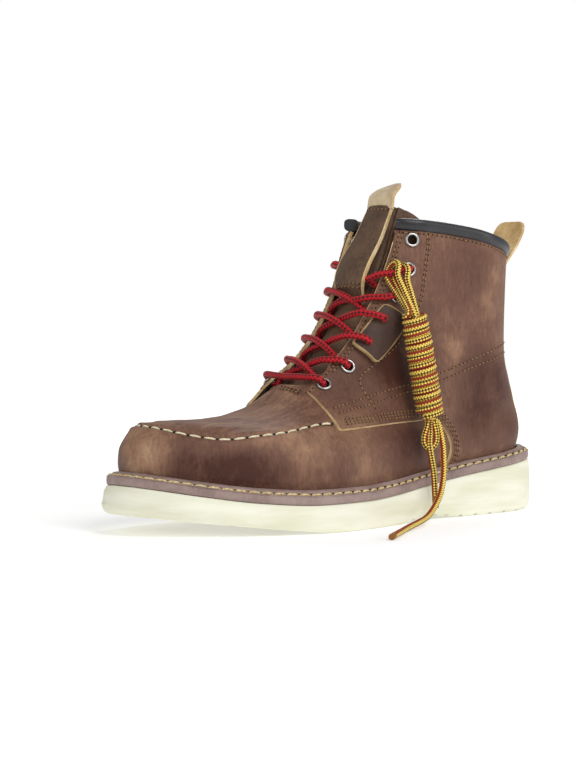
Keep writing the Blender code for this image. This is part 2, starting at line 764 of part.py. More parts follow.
def make_spare_lace(material, parts):
    """Hank hung on the lace by a loop, with two free ends."""
    top, foot = np.array(HANK_TOP), np.array(HANK_FOOT)
    long = np.linalg.norm(foot - top)
    shape = bmesh.new()
    radius = HANK_RADIUS * MM
    bmesh.ops.create_cone(shape, cap_ends=True, segments=14, radius1=radius, radius2=radius, depth=long * MM)
    mesh = bpy.data.meshes.new("spare_lace_hank")
    shape.to_mesh(mesh)
    shape.free()
    mesh.materials.append(material)
    hank = bpy.data.objects.new("spare_lace_hank", mesh)
    hank.matrix_world = frame_at((top + foot) / 2, top - foot)
    parts.objects.link(hank)
    up, across, out = np.array(LOOP).T
    axis = (top - foot) / long
    aside = np.cross(axis, (0.755, -0.656, 0.0))
    aside = np.cross(aside, axis) / np.linalg.norm(aside)
    apart, clear = LOOP_END
    ends = [top + axis * clear + aside * apart, top + axis * clear - aside * apart]
    loop = np.vstack([ends[0], on_throat(up, across, out), ends[1]])
    tube("spare_lace_loop", smooth_path(loop, 18), SPARE_LACE / 2, material, parts, 2)
    tube("spare_lace_tail_long", smooth_path(TAIL_LONG, 20), SPARE_LACE / 2, material, parts, 2)
    tube("spare_lace_tail_short", smooth_path(TAIL_SHORT, 6), SPARE_LACE / 2, material, parts, 2)


def lace_run(side, start, end, high, lift=0.0):
    """Route of one run: out from under one facing, over the tongue and onto the other facing."""
    (u0, s0), (u1, s1) = start, end
    under, rim = -(WALL + GAP + LACE / 2 + 0.2), EYELET_SEAT + EYELET_RIM + GAP + LACE / 2 + 0.3
    t = np.array((0.0, 0.12, 0.24, 0.36, 0.48, 0.6, 0.72, 0.82, 0.91, 1.0))
    hidden = s0 - EYELET_BARREL - 2.5
    s = side * (hidden - (hidden + s1) * t)
    out = np.interp(t, (0, 0.14, 0.3, 0.5, 0.7, 0.8, 0.9, 1), (under, under, -3.0, high, 1.4, 2.8, rim, rim))
    out = out + lift * np.clip((t - 0.6) / 0.2, 0, 1)
    return on_throat(u0 + (u1 - u0) * t, s, out)


def tube(name, points, radius, material, collection, resolution=1):
    curve = bpy.data.curves.new(name, "CURVE")
    curve.dimensions = "3D"
    curve.bevel_depth = radius * MM
    curve.bevel_resolution = resolution
    curve.use_fill_caps = True
    spline = curve.splines.new("POLY")
    spline.points.add(len(points) - 1)
    for knot, p in zip(spline.points, points):
        knot.co = (*(np.asarray(p) * MM), 1)
    curve.materials.append(material)
    thing = bpy.data.objects.new(name, curve)
    collection.objects.link(thing)
    return thing


def as_mesh(thing, collection):
    """Closed mesh in place of a curve."""
    depsgraph = bpy.context.evaluated_depsgraph_get()
    mesh = bpy.data.meshes.new_from_object(thing.evaluated_get(depsgraph))
    shape = bmesh.new()
    shape.from_mesh(mesh)
    bmesh.ops.remove_doubles(shape, verts=shape.verts, dist=0.00001)
    bmesh.ops.recalc_face_normals(shape, faces=shape.faces)
    shape.to_mesh(mesh)
    shape.free()
    name, place = thing.name, thing.matrix_world.copy()
    bpy.data.objects.remove(thing)
    solid = bpy.data.objects.new(name, mesh)
    solid.matrix_world = place
    collection.objects.link(solid)
    return solid


def make_laces(material, parts, cutters):
    """Bar across the lowest eyelets, then a crossing up each pair to the sixth."""
    u, s = EYELETS[0]
    rim = EYELET_SEAT + EYELET_RIM + GAP + LACE / 2 + 0.3
    t = np.linspace(-1, 1, 13)
    out = np.interp(np.abs(t), (0, 0.45, 0.7, 0.81, 1), (0.6, 1.6, 2.9, rim, rim))
    as_mesh(tube("lace_bar", on_throat(u - 3.0 * (1 - t * t), s * t, out), LACE / 2, material, parts), parts)
    for i in range(5):
        lift = PATCH_THICK + 4 * GAP if i in (1, 2) else 0.0
        left = lace_run(1, EYELETS[i], EYELETS[i + 1], -0.6)
        right = lace_run(-1, EYELETS[i], EYELETS[i + 1], -2.2, lift)
        cross = as_mesh(tube(f"lace_cross_{i + 1}", left, LACE / 2, material, parts), parts)
        other = as_mesh(tube(f"lace_run_{i + 1}", right, LACE / 2, material, cutters), cutters)
        join = cross.modifiers.new("join", "BOOLEAN")
        join.operation, join.object = "UNION", other


def main():
    for thing in list(bpy.data.objects):
        bpy.data.objects.remove(thing, do_unlink=True)
    parts, cutters = fresh("moc_toe_work_boot"), fresh("cutters")
    paints = {
        "outsole": paint("cream_rubber", "E4DBC3", 0.6),
        "midsole": paint("midsole_rubber", "8C6F66", 0.6),
        "welt": paint("welt_leather", "7E6158", 0.6),
        "insole": paint("insole_board", "A98B66", 0.8),
        "upper": paint("oiled_leather", "6E4F3F", 0.55),
        "roll": paint("black_collar", "1E1C1D", 0.45),
        "tongue": paint("tongue_leather", "5F4638", 0.6),
        "suede": paint("tan_suede", "B08A5B", 0.9),
        "patch": paint("patch_leather", "4A3730", 0.6),
        "nickel": paint("nickel", "C9C9C6", 0.25, 1.0),
        "lace": paint("red_lace", "A8141C", 0.7),
        "spare": paint("yellow_lace", "D9A52B", 0.7),
    }
    make_outsole(paints["outsole"], parts, cutters)
    make_plates(paints, parts)
    make_upper(paints, parts, cutters)
    make_tongue(paints["tongue"], parts)
    make_roll(paints["roll"], parts)
    make_eyelets(paints["nickel"], parts)
    make_laces(paints["lace"], parts, cutters)
    make_strap(paints["tongue"], paints["suede"], parts)
    make_heel_pull(paints["suede"], parts)
    make_patch(paints["patch"], parts)
    make_spare_lace(paints["spare"], parts)
    for thing in cutters.objects:
        thing.hide_render, thing.display_type = True, "WIRE"


main()
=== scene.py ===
"""Finish of the left moc toe work boot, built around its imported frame.

Tables are in millimetres, meshes in metres. +X points to the toe, +Y to the outer (lateral) side, which
the camera sees, and +Z up from the floor.
"""

import bmesh
import bpy
import numpy as np
from mathutils import Matrix, Vector


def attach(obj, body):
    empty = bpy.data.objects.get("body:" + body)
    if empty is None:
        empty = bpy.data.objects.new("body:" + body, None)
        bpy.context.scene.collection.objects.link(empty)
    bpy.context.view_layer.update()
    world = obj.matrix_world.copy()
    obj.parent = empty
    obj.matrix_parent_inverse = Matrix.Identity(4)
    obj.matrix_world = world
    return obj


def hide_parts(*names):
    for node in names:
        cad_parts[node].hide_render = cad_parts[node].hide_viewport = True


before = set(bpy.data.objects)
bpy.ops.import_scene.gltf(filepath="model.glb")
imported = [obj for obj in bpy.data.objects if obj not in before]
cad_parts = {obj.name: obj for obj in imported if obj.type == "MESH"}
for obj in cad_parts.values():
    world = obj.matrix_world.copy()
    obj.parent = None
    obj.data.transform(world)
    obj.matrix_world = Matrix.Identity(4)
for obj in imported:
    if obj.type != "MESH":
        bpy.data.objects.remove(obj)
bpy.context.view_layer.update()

MM = 0.001
UPRIGHT = (0.0, 0.0, 1.0)

# Driving dimensions, as in the frame
GAP = 0.3
WALL = 2.2
MIDSOLE = 4.6
WELT = 3.4
THROAT_FOOT = 17.0
FACING_EDGE = 19.5
SEAM_INSET = 7.0
TONGUE_THICK = 4.0
LACE = 3.8
SPARE_LACE = 3.6
# Leather on the upper: thickness of a quarter, width of its pale cut edge, rounding of the topline
QUARTER_THICK = 1.6
RAW_EDGE = 0.35
EDGE_ROUND = 0.2
# Eyelets: hole in the leather, top and seat of the rim over the form, radii of rim and barrel
EYELET_HOLE = 3.4
EYELET_TOP, EYELET_SEAT = 1.5, 0.75
EYELET_RIM, EYELET_RIM_THICK = 3.55, 0.82
EYELET_BARREL, EYELET_LONG = 2.85, 3.6
# Sewing: pitch of the brown rows, of the toe seam and of the welt, and the welt row's distance from the edge
SEAM_PITCH = 3.1
MOC_PITCH = 8.2
WELT_PITCH = 7.4
STITCH_INSET = 2.3

# Outer edge of the outsole in plan: point, x, y
OUTLINE = (
    ("heel back", -152.5, 0.0),
    ("heel corner, lateral", -141.5, 25.0),
    ("heel, lateral", -112.0, 36.0),
    ("waist, lateral", -45.0, 42.0),
    ("ball, lateral", 38.0, 60.0),
    ("little toe", 104.0, 46.0),
    ("toe corner, lateral", 141.0, 22.0),
    ("toe tip", 152.5, -9.0),
    ("toe corner, medial", 142.0, -37.0),
    ("big toe", 112.0, -51.0),
    ("ball, medial", 58.0, -55.0),
    ("waist, medial", -38.0, -39.0),
    ("heel, medial", -112.0, -36.0),
    ("heel corner, medial", -141.5, -25.0),
)
# Top of the wedge from heel to toe: x, height
WEDGE = (
    (-152.5, 31.8),
    (-140.0, 31.2),
    (-110.0, 28.2),
    (-78.0, 25.0),
    (-42.0, 21.0),
    (-8.0, 17.6),
    (20.0, 16.2),
    (55.0, 16.0),
    (90.0, 18.2),
    (120.0, 22.6),
    (152.5, 29.0),
)
# Edge of the sole outside the foot of the upper: x, ledge
LEDGE = (
    (-152.5, 11.5),
    (-130.0, 7.2),
    (-105.0, 5.6),
    (-45.0, 6.0),
    (38.0, 7.5),
    (90.0, 8.5),
    (120.0, 11.5),
    (152.5, 13.5),
)
# Underside of the sole, springing up to the toe: x, height
UNDERSIDE = (
    (-152.5, 2.2),
    (-140.0, 0.0),
    (-110.0, 0.0),
    (-78.0, 0.0),
    (-42.0, 2.4),
    (-8.0, 0.0),
    (42.0, 0.0),
    (70.0, 2.4),
    (104.0, 6.4),
    (130.0, 9.6),
    (152.5, 12.4),
)
# Trim of the sole's edge towards the toe: x, at the underside, at the welt
TOE_TRIM = ((-152.5, 0.0, 0.0), (60.0, 0.0, 0.0), (112.0, 1.2, 2.4), (152.5, 3.6, 6.4))
# Wall of the upper over its foot: height, swell at the sides, swell at the toe
SWELL = (
    (-10.0, 0.0, 0.0),
    (0.0, 0.0, 0.0),
    (5.0, 1.4, 0.6),
    (12.0, 2.2, 0.2),
    (20.0, 1.2, -2.8),
    (28.0, -1.4, -7.4),
    (36.0, -5.0, -12.4),
    (60.0, -22.0, -26.0),
)
# Top of the foot: x, ridge height, drop 40 mm to the side, blend into the wall, ridge y
INSTEP = (
    (-152.0, 112.0, 30.0, 30.0, 0.0),
    (-60.0, 112.0, 30.0, 30.0, 1.5),
    (0.0, 100.0, 26.0, 24.0, 2.5),
    (20.0, 90.0, 22.0, 20.0, 3.0),
    (45.0, 74.0, 12.0, 13.0, 2.5),
    (62.0, 66.8, 8.0, 9.0, 1.0),
    (75.0, 64.0, 6.5, 7.0, 0.0),
    (100.0, 62.5, 5.0, 6.0, -3.0),
    (130.0, 62.6, 4.0, 6.0, -6.0),
    (152.0, 61.6, 3.0, 6.0, -9.0),
)
# Shaft over the heel and instep: height, back x, front x, back half width, front half width
SHAFT = (
    (20.0, -120.0, 58.0, 20.0, 20.0),
    (38.0, -122.0, 56.0, 22.0, 22.0),
    (50.0, -126.0, 54.0, 25.0, 24.0),
    (62.0, -129.0, 50.0, 30.0, 25.0),
    (74.0, -130.5, 42.0, 32.3, 26.0),
    (86.0, -130.0, 30.0, 33.0, 26.0),
    (98.0, -128.5, 18.5, 32.8, 26.5),
    (110.0, -128.2, 8.0, 33.0, 27.0),
    (137.0, -128.5, -11.0, 35.0, 28.0),
    (157.0, -129.0, -21.0, 37.0, 29.0),
    (180.0, -130.5, -30.0, 39.0, 30.0),
    (215.0, -132.0, -43.0, 40.0, 30.0),
)
# Blend of shaft and foot: height, width
BLEND = ((42.0, 4.0), (85.0, 16.0))
# Top edge of the leather under the collar roll: x, height
COLLAR = ((-132.0, 155.6), (-120.0, 157.2), (-100.0, 161.6), (-78.0, 166.4), (-51.0, 170.0), (-30.0, 171.5))
# Eyelets on each facing: distance up the throat, distance from its middle
EYELETS = (
    (25.2, 25.4),
    (44.2, 28.4),
    (62.0, 30.2),
    (78.6, 31.4),
    (95.0, 32.8),
    (111.8, 33.6),
    (128.6, 30.4),
)
# Keeper strap over the tongue: distance up the throat, outer face from the form
STRAP = (
    (88.0, -3.4),
    (90.5, -1.4),
    (93.0, 1.8),
    (97.0, 4.2),
    (102.0, 4.9),
    (108.0, 4.6),
    (115.0, 3.0),
    (128.0, -0.4),
    (147.0, -2.6),
)
STRAP_HALF = 11.5
STRAP_THICK = 2.0
# Pull on top of the strap: back, to the side and up from its foot, half width
TONGUE_PULL = (
    (0.5, 0.0, -2.6, 11.0),
    (1.5, 0.2, 4.6, 10.6),
    (5.0, 0.8, 8.6, 9.2),
    (9.5, 1.6, 11.2, 6.4),
    (14.0, 2.2, 13.2, 2.4),
)
# Pull at the back of the collar: x of its inner face, z, half width
HEEL_PULL = (
    (-129.0, 138.0, 12.5),
    (-129.2, 146.0, 12.5),
    (-130.6, 151.0, 12.5),
    (-135.4, 157.5, 12.5),
    (-141.2, 164.5, 12.5),
    (-145.8, 171.5, 12.4),
    (-148.0, 175.8, 11.4),
    (-149.0, 178.2, 9.2),
    (-149.4, 179.2, 6.2),
)
# Leather patch laced on the outer facing: distance up the throat, front edge, back edge
PATCH = ((56.0, 22.6, 40.0), (64.5, 23.4, 41.8), (72.0, 24.4, 43.2), (80.0, 25.6, 44.0), (87.5, 27.0, 43.0))
PATCH_THICK = 1.8
# Spare lace wound in a hank: ends of its axis
HANK_TOP, HANK_FOOT = np.array((-25.5, 41.2, 124.6)), np.array((-38.2, 43.0, 59.8))
HANK_RADIUS = 8.4
HANK_TURNS = 16
# Its bights over the lace at the sixth eyelet: distance up the throat, across from each one's own line,
# out from the form
LOOP = (
    (103.5, 5.2, 10.6),
    (107.6, 5.0, 10.6),
    (110.4, 4.0, 8.8),
    (111.6, 2.6, 5.8),
    (109.8, 1.0, 3.2),
    (106.2, 0.2, 2.4),
    (102.4, 0.6, 3.2),
)
# Own lines of the two bights across the throat
LOOP_ACROSS = (22.4, 26.4)
# Its two ends below the hank, the longer one lying on the floor: x, y, z
TAIL_LONG = (
    (-41.0, 45.0, 59.4),
    (-41.8, 46.6, 54.5),
    (-42.3, 48.8, 45.0),
    (-41.5, 50.2, 36.0),
    (-40.5, 51.2, 28.5),
    (-36.5, 52.8, 17.5),
    (-28.0, 56.0, 9.6),
    (-16.5, 61.0, 4.6),
    (8.7, 73.6, 2.0),
    (30.0, 89.5, 2.0),
    (48.5, 103.4, 2.0),
)
TAIL_SHORT = (
    (-36.6, 44.0, 58.4),
    (-36.0, 44.6, 53.0),
    (-34.6, 45.4, 45.1),
    (-36.6, 47.0, 29.3),
    (-37.2, 47.4, 15.4),
    (-37.6, 47.6, 8.5),
)
# Toe seam from the outer quarter round the toe to the inner quarter: x, y, z
TOE_SEAM = (
    (34.0, 42.0, 60.3),
    (47.0, 41.0, 60.0),
    (60.0, 41.0, 58.0),
    (81.0, 40.0, 56.0),
    (104.0, 32.0, 54.0),
    (121.0, 20.0, 58.2),
    (130.0, 7.0, 62.0),
    (132.0, -9.0, 63.0),
    (127.0, -25.0, 61.0),
    (113.0, -37.0, 56.0),
    (92.0, -43.0, 56.0),
    (66.0, -43.5, 58.0),
    (48.0, -42.0, 60.5),
    (34.0, -42.0, 61.5),
)
# Lower front edge of the quarter, from the facing to the welt: x, y, z
QUARTER_EDGE = (
    (37.5, 18.5, 78.1),
    (36.5, 29.1, 71.8),
    (35.0, 37.6, 64.7),
    (34.0, 41.7, 60.3),
    (33.4, 44.1, 57.2),
    (30.0, 44.3, 56.6),
    (8.4, 41.9, 57.4),
    (-15.4, 37.1, 58.3),
    (-38.5, 32.9, 58.7),
    (-47.0, 31.5, 59.3),
    (-54.6, 31.4, 57.4),
    (-61.0, 32.6, 51.0),
    (-64.2, 32.7, 42.0),
    (-63.0, 31.0, 32.8),
    (-60.0, 31.0, 24.0),
)
# Rows sewn on the outer side, each a line on the leather: x, y, z
SIDE_ROWS = (
    ((30, 34.5, 68.3), (14.4, 33.1, 71.2), (-0.5, 31.1, 74.2), (-20, 29.5, 77.7), (-36, 29.3, 80.8),
     (-58, 30.4, 86.2), (-81.5, 31.9, 93.6), (-109, 29.9, 101.9), (-122, 20, 104), (-126, 14, 104.5)),
    ((28, 37.3, 65.5), (12.8, 35.3, 67.8), (-3, 32.7, 70.1), (-24, 30.2, 74.1), (-40, 29.6, 77.4),
     (-59, 30.5, 82.1), (-81.4, 32, 88.8), (-109, 30.1, 96.2), (-122, 20, 98), (-126, 14, 98.5)),
)
# Lines of the eyestay in distances up and across the throat
STAY_ROWS = (
    ((138, 37.2), (130, 40.2), (121.6, 42.2), (113, 44.2), (102, 47.2), (97, 47.6)),
    ((138.5, 38.8), (130, 41.8), (121.6, 43.8), (113, 45.8), (102, 48.8), (97, 49.2)),
    ((94, 48.5), (84, 49), (70, 46.5), (56.3, 41), (46.3, 38), (41.8, 41), (39.4, 50), (37.9, 57)),
)


def hermite(w, step, start, end, lean, end_lean):
    """Place a share of a step along, between two places with their leans."""
    return (
        (1 + 2 * w) * (1 - w) ** 2 * start
        + w * (1 - w) ** 2 * step * lean
        + w * w * (3 - 2 * w) * end
        + w * w * (w - 1) * step * end_lean
    )


def column(table, index, x):
    """Read one column of a table at x, with no overshoot between rows."""
    rows = np.array(table, float)
    xs, ys = rows[:, 0], rows[:, index]
    step = np.diff(xs)
    slope = np.diff(ys) / step
    lean = np.concatenate([slope[:1], np.zeros(len(xs) - 2), slope[-1:]])
    same = slope[:-1] * slope[1:] > 0
    lean[1:-1][same] = 2 / (1 / slope[:-1][same] + 1 / slope[1:][same])
    x = np.clip(x, xs[0], xs[-1])
    i = np.clip(np.searchsorted(xs, x, side="right") - 1, 0, len(xs) - 2)
    w = (x - xs[i]) / step[i]
    return hermite(w, step[i], ys[i], ys[i + 1], lean[i], lean[i + 1])


def closed_spline(points, count):
    """Smooth closed curve through the points of an outline."""
    p = np.array(points, float)
    n = len(p)
    ahead, behind = np.roll(p, -1, 0), np.roll(p, 1, 0)
    step = np.sqrt(np.linalg.norm(ahead - p, axis=1))
    back = np.roll(step, 1)
    system = np.diag(2 * (step + back))
    for i in range(n):
        system[i, i - 1] += step[i]
        system[i, (i + 1) % n] += back[i]
    pull = 3 * (step[:, None] * (p - behind) / back[:, None] + back[:, None] * (ahead - p) / step[:, None])
    tangent = np.linalg.solve(system, pull)
    start = np.concatenate([[0], np.cumsum(step)])
    s = np.linspace(0, start[-1], count, endpoint=False)
    i = np.clip(np.searchsorted(start, s, side="right") - 1, 0, n - 1)
    j = (i + 1) % n
    w = ((s - start[i]) / step[i])[:, None]
    h = step[i][:, None]
    return hermite(w, h, p[i], p[j], tangent[i], tangent[j])


def outward(curve):
    """Unit normals of a closed plan curve, pointing out."""
    run = np.roll(curve, -1, 0) - np.roll(curve, 1, 0)
    normal = np.column_stack([run[:, 1], -run[:, 0]]) / np.linalg.norm(run, axis=1)[:, None]
    return normal if ((curve - curve.mean(0)) * normal).sum() > 0 else -normal


def inset(curve, amount):
    return curve - outward(curve) * np.reshape(amount, (-1, 1))


def make_outline():
    curve = closed_spline([row[1:] for row in OUTLINE], 480)
    return curve - (curve.max(0) + curve.min(0)) / 2


SOLE_EDGE = make_outline()
FEATHER = inset(SOLE_EDGE, column(LEDGE, 1, SOLE_EDGE[:, 0]))
FEATHER_OUT = outward(FEATHER)
PLAN_X, PLAN_Y = 175, 95


def plan_field():
    """Distance outside the feather line, seen from above, at whole millimetres."""
    rows = []
    y = np.arange(-PLAN_Y, PLAN_Y + 1.0)
    for x in np.arange(-PLAN_X, PLAN_X + 1.0):
        apart = np.column_stack([np.full(len(y), x), y])[:, None] - FEATHER
        near = (apart**2).sum(2).argmin(1)
        rows.append((apart[np.arange(len(near)), near] * FEATHER_OUT[near]).sum(1))
    return np.array(rows)


PLAN_FIELD = plan_field()


def plan_distance(x, y):
    u = np.clip(x + PLAN_X, 0, 2 * PLAN_X - 0.001)
    v = np.clip(y + PLAN_Y, 0, 2 * PLAN_Y - 0.001)
    i, j = u.astype(int), v.astype(int)
    u, v, f = u - i, v - j, PLAN_FIELD
    near = f[i, j] * (1 - v) + f[i, j + 1] * v
    return near * (1 - u) + (f[i + 1, j] * (1 - v) + f[i + 1, j + 1] * v) * u


def wedge_top(x):
    return column(WEDGE, 1, x)


def underside(x):
    return column(UNDERSIDE, 1, x)


def feather_height(x):
    """Foot of the upper, at the top of the welt."""
    return wedge_top(x) + MIDSOLE + WELT


def smooth_max(a, b, blend):
    h = np.clip(0.5 + 0.5 * (a - b) / blend, 0, 1)
    return b + (a - b) * h + blend * h * (1 - h)


def ease(x):
    x = np.clip(x, 0, 1)
    return x * x * (3 - 2 * x)


def bell(x, middle, width):
    """Smooth bump of height 1."""
    return np.exp(-(((x - middle) / width) ** 2))


# Start and length of the change from the swell of the sides to that of the toe
TOE_START, TOE_LONG = 85.0, 45.0
# Distance to the side at which the roof's drop is given
ROOF_SPAN = 40.0


def foot_form(p):
    """Foot of the upper: the swelling wall under the domed top."""
    x, y, z = p.T
    height = z - feather_height(x)
    toe = ease((x - TOE_START) / TOE_LONG)
    swell = column(SWELL, 1, height) * (1 - toe) + column(SWELL, 2, height) * toe
    wall = plan_distance(x, y) - swell
    roof = z - column(INSTEP, 1, x) + column(INSTEP, 2, x) * ((y - column(INSTEP, 4, x)) / ROOF_SPAN) ** 2
    return smooth_max(wall, roof, column(INSTEP, 3, x))


def shaft_form(p):
    """Shaft: at each height the hull of a back circle and a front circle."""
    x, y, z = p.T
    back, front, wide, narrow = (column(SHAFT, i, z) for i in (1, 2, 3, 4))
    long = front - narrow - back - wide
    px, py = x - back - wide, np.abs(y)
    lean = (wide - narrow) / long
    side = np.sqrt(1 - lean * lean)
    along = side * px - lean * py
    flank = lean * px + side * py - wide
    front_end = np.hypot(px - long, py) - narrow
    return np.where(along < 0, np.hypot(px, py) - wide, np.where(along > side * long, front_end, flank))


# Inner facing standing up at its foot and flaring out at its top: middle, reach, height
PROUD = (((30.0, -23.0, 77.0), (15.0, 15.0, 15.0), 3.4), ((-22.0, -25.0, 162.0), (26.0, 14.0, 30.0), 4.6))


def form(p):
    """Outside of the upper: below 0 inside it, about millimetres."""
    proud = sum(height * np.exp(-(((p - at) / reach) ** 2).sum(1)) for at, reach, height in PROUD)
    return -smooth_max(-foot_form(p), -shaft_form(p), column(BLEND, 1, p[:, 2])) - proud


def slope(p):
    steps = np.eye(3) * 0.5
    return np.column_stack([form(p + s) - form(p - s) for s in steps])


# Longest step, and least squared slope, of points that settle on the form
SETTLE_STEP, SETTLE_SLOPE = 6.0, 0.15


def settle(points, over=0.0, along=(1, 1, 1), rounds=6):
    """Move points onto the form, or to a height over it, only along the named axes."""
    p = np.array(points, float)
    for _ in range(rounds):
        g = slope(p) * along
        off = np.clip(form(p) - over, -SETTLE_STEP, SETTLE_STEP)
        p -= (off / np.maximum((g * g).sum(1), SETTLE_SLOPE))[:, None] * g
    return p


def unit(v):
    return v / np.maximum(np.linalg.norm(v, axis=-1, keepdims=True), 1e-9)


def normals_at(p):
    return unit(slope(p))


# Throat: reach to each side, heights of its ends, rows, and the height from which distances up it count
THROAT_REACH = 58
THROAT_LOW, THROAT_HIGH, THROAT_ROWS = 64, 208, 74
THROAT_START = 71.0
# Where its ridge starts in front of the shaft, before it settles
RIDGE_AHEAD = 6


def make_throat():
    """Patch over the instep: arc lengths up its ridge, and points at whole mm round it."""
    z = np.linspace(THROAT_LOW, THROAT_HIGH, THROAT_ROWS)
    ridge = np.column_stack([column(SHAFT, 2, z) + RIDGE_AHEAD, 0 * z, z])
    ridge = settle(ridge, along=(1, 0, 0), rounds=14)
    run = np.gradient(ridge, axis=0)
    up = np.concatenate([[0], np.cumsum(np.linalg.norm(np.diff(ridge, axis=0), axis=1))])
    up -= np.interp(THROAT_START, z, up)
    sides = []
    for sign in (-1, 1):
        p, strip = ridge, []
        for _ in range(THROAT_REACH):
            across = np.cross(normals_at(p), run)
            across *= sign * np.sign(across[:, 1:2]) / np.linalg.norm(across, axis=1)[:, None]
            p = settle(p + across, rounds=2)
            strip.append(p)
        sides.append(strip)
    return up, np.stack(sides[0][::-1] + [ridge] + sides[1], 1)


THROAT_UP, THROAT = make_throat()


def on_throat(up, across, out=0.0):
    """Points at distances up and across the instep, standing out from the form."""
    up, across, out = np.broadcast_arrays(np.atleast_1d(np.asarray(up, float)), across, out)
    row = np.interp(up, THROAT_UP, np.arange(len(THROAT_UP)))
    col = np.clip(across + THROAT_REACH, 0, 2 * THROAT_REACH)
    i, j = np.minimum(row.astype(int), len(THROAT_UP) - 2), np.minimum(col.astype(int), 2 * THROAT_REACH - 1)
    u, w = (row - i)[:, None], (col - j)[:, None]
    p = (THROAT[i, j] * (1 - u) + THROAT[i + 1, j] * u) * (1 - w)
    p = settle(p + (THROAT[i, j + 1] * (1 - u) + THROAT[i + 1, j + 1] * u) * w, rounds=2)
    return p + normals_at(p) * out[:, None]


def lengths(path):
    return np.concatenate([[0], np.cumsum(np.linalg.norm(np.diff(path, axis=0), axis=1))])


def pick(path, share):
    """Points at shares of the length of an open path."""
    path = np.asarray(path, float)
    run = lengths(path)
    at = np.asarray(share) * run[-1]
    return np.column_stack([np.interp(at, run, path[:, a]) for a in range(path.shape[1])])


def smooth_path(points, count):
    """Evenly spaced points on a smooth curve through a route."""
    p = np.array(points, float)
    lean = np.gradient(p, axis=0)
    t = np.linspace(0, len(p) - 1, 20 * len(p))
    i = np.minimum(t.astype(int), len(p) - 2)
    w = (t - i)[:, None]
    path = hermite(w, 1, p[i], p[i + 1], lean[i], lean[i + 1])
    return pick(path, np.linspace(0, 1, count))


def eased(path, rounds):
    """Path with its tight corners eased, its ends kept."""
    path = path.copy()
    for _ in range(rounds):
        path[1:-1] = path[1:-1] * 0.5 + (path[2:] + path[:-2]) * 0.25
    return path


def spaced(path, pitch):
    """Points about a pitch apart along a path."""
    count = max(2, int(round(lengths(path)[-1] / pitch)) + 1)
    return pick(path, np.linspace(0, 1, count))


def line_distance(p, line):
    """Distance of points to a polyline, the nearest points on it and how far along it they lie."""
    a, b = line[:-1], line[1:]
    run = b - a
    near = np.full(len(p), 1e9)
    spot = np.zeros_like(p)
    share = np.zeros(len(p))
    start = lengths(line)
    for k in range(len(a)):
        t = np.clip(((p - a[k]) @ run[k]) / max(run[k] @ run[k], 1e-9), 0, 1)
        q = a[k] + t[:, None] * run[k]
        d = np.linalg.norm(p - q, axis=1)
        closer = d < near
        near = np.where(closer, d, near)
        spot[closer] = q[closer]
        share = np.where(closer, (start[k] + t * (start[k + 1] - start[k])) / start[-1], share)
    return near, spot, share


def plan_ring(curve, half):
    """Closed plan curve read at matching x on both sides: toe, lateral, heel, medial."""
    tip, heel = curve[:, 0].argmax(), curve[:, 0].argmin()
    turned = np.roll(curve, -tip, 0)
    cut = (heel - tip) % len(curve)
    chains = [turned[: cut + 1], np.vstack([turned[:1], turned[:cut - 1 : -1]])]
    chains.sort(key=lambda c: -c[:, 1].mean())
    x0, x1 = curve[:, 0].min(), curve[:, 0].max()
    x = (x0 + x1) / 2 + (x1 - x0) / 2 * np.cos(np.pi * np.arange(half + 1) / half)
    lateral, medial = (np.interp(x, c[::-1, 0], c[::-1, 1]) for c in chains)
    return np.vstack([np.column_stack([x, lateral]), np.column_stack([x, medial])[half - 1 : 0 : -1]])


# Collar in plan before it settles on the form: middle, half length, half width, first angle, height
COLLAR_MIDDLE, COLLAR_LONG, COLLAR_WIDE = -85, 55, 42
COLLAR_FIRST, COLLAR_HIGH = 22, 165
# Round foot of the throat: radius, straight middle; top of the straight facing
THROAT_ROUND = FACING_EDGE * 0.75
THROAT_MIDDLE = (0.0, 2.5)
FACING_TOP = 130.0


def collar_path(side, count):
    """Top edge of the leather from the facing corner to the middle of the back."""
    angle = np.radians(np.linspace(COLLAR_FIRST, 180, count))
    x = COLLAR_MIDDLE + COLLAR_LONG * np.cos(angle)
    p = np.column_stack([x, side * COLLAR_WIDE * np.sin(angle), COLLAR_HIGH + 0 * angle])
    for _ in range(3):
        p[:, 2] = column(COLLAR, 1, p[:, 0])
        p = settle(p, along=(1, 1, 0))
    p[-1, 1] = 0
    return p


def topline(side):
    """Open edge of the upper from the foot of the throat, up one facing and round the collar."""
    r = THROAT_ROUND
    foot = [(THROAT_FOOT, s) for s in THROAT_MIDDLE]
    for bend in np.radians(np.linspace(0, 90, 5)):
        foot.append((THROAT_FOOT + r * (1 - np.cos(bend)), FACING_EDGE - r + r * np.sin(bend)))
    rise = [(u, FACING_EDGE) for u in np.linspace(THROAT_FOOT + r + 6, FACING_TOP, 16)]
    up, across = np.array(foot + rise).T
    return np.vstack([on_throat(up, side * across), collar_path(side, 36)])


# Ribs of the upper from toe to heel: shares of the ribs, of the topline and of the feather line
RIB_SHARE = (0, 0.22, 0.63, 1)
TOP_SHARE = (0, 0.07, 0.5, 1)
FOOT_SHARE = (0, 0.2, 0.62, 1)
WALL_ROWS, TOP_ROWS, HALF_RIBS = 5, 8, 30
FEATHER_HALF = 200
# Row at the toe seam: first height, and where it fades to the sides' middle row, given by x and height
SEAM_HEIGHT = 70
SEAM_END, SEAM_FADE = 45, 40
MIDDLE_X, MIDDLE_HEIGHT = (-150, -60, 0, 60), (84, 76, 68, 60)


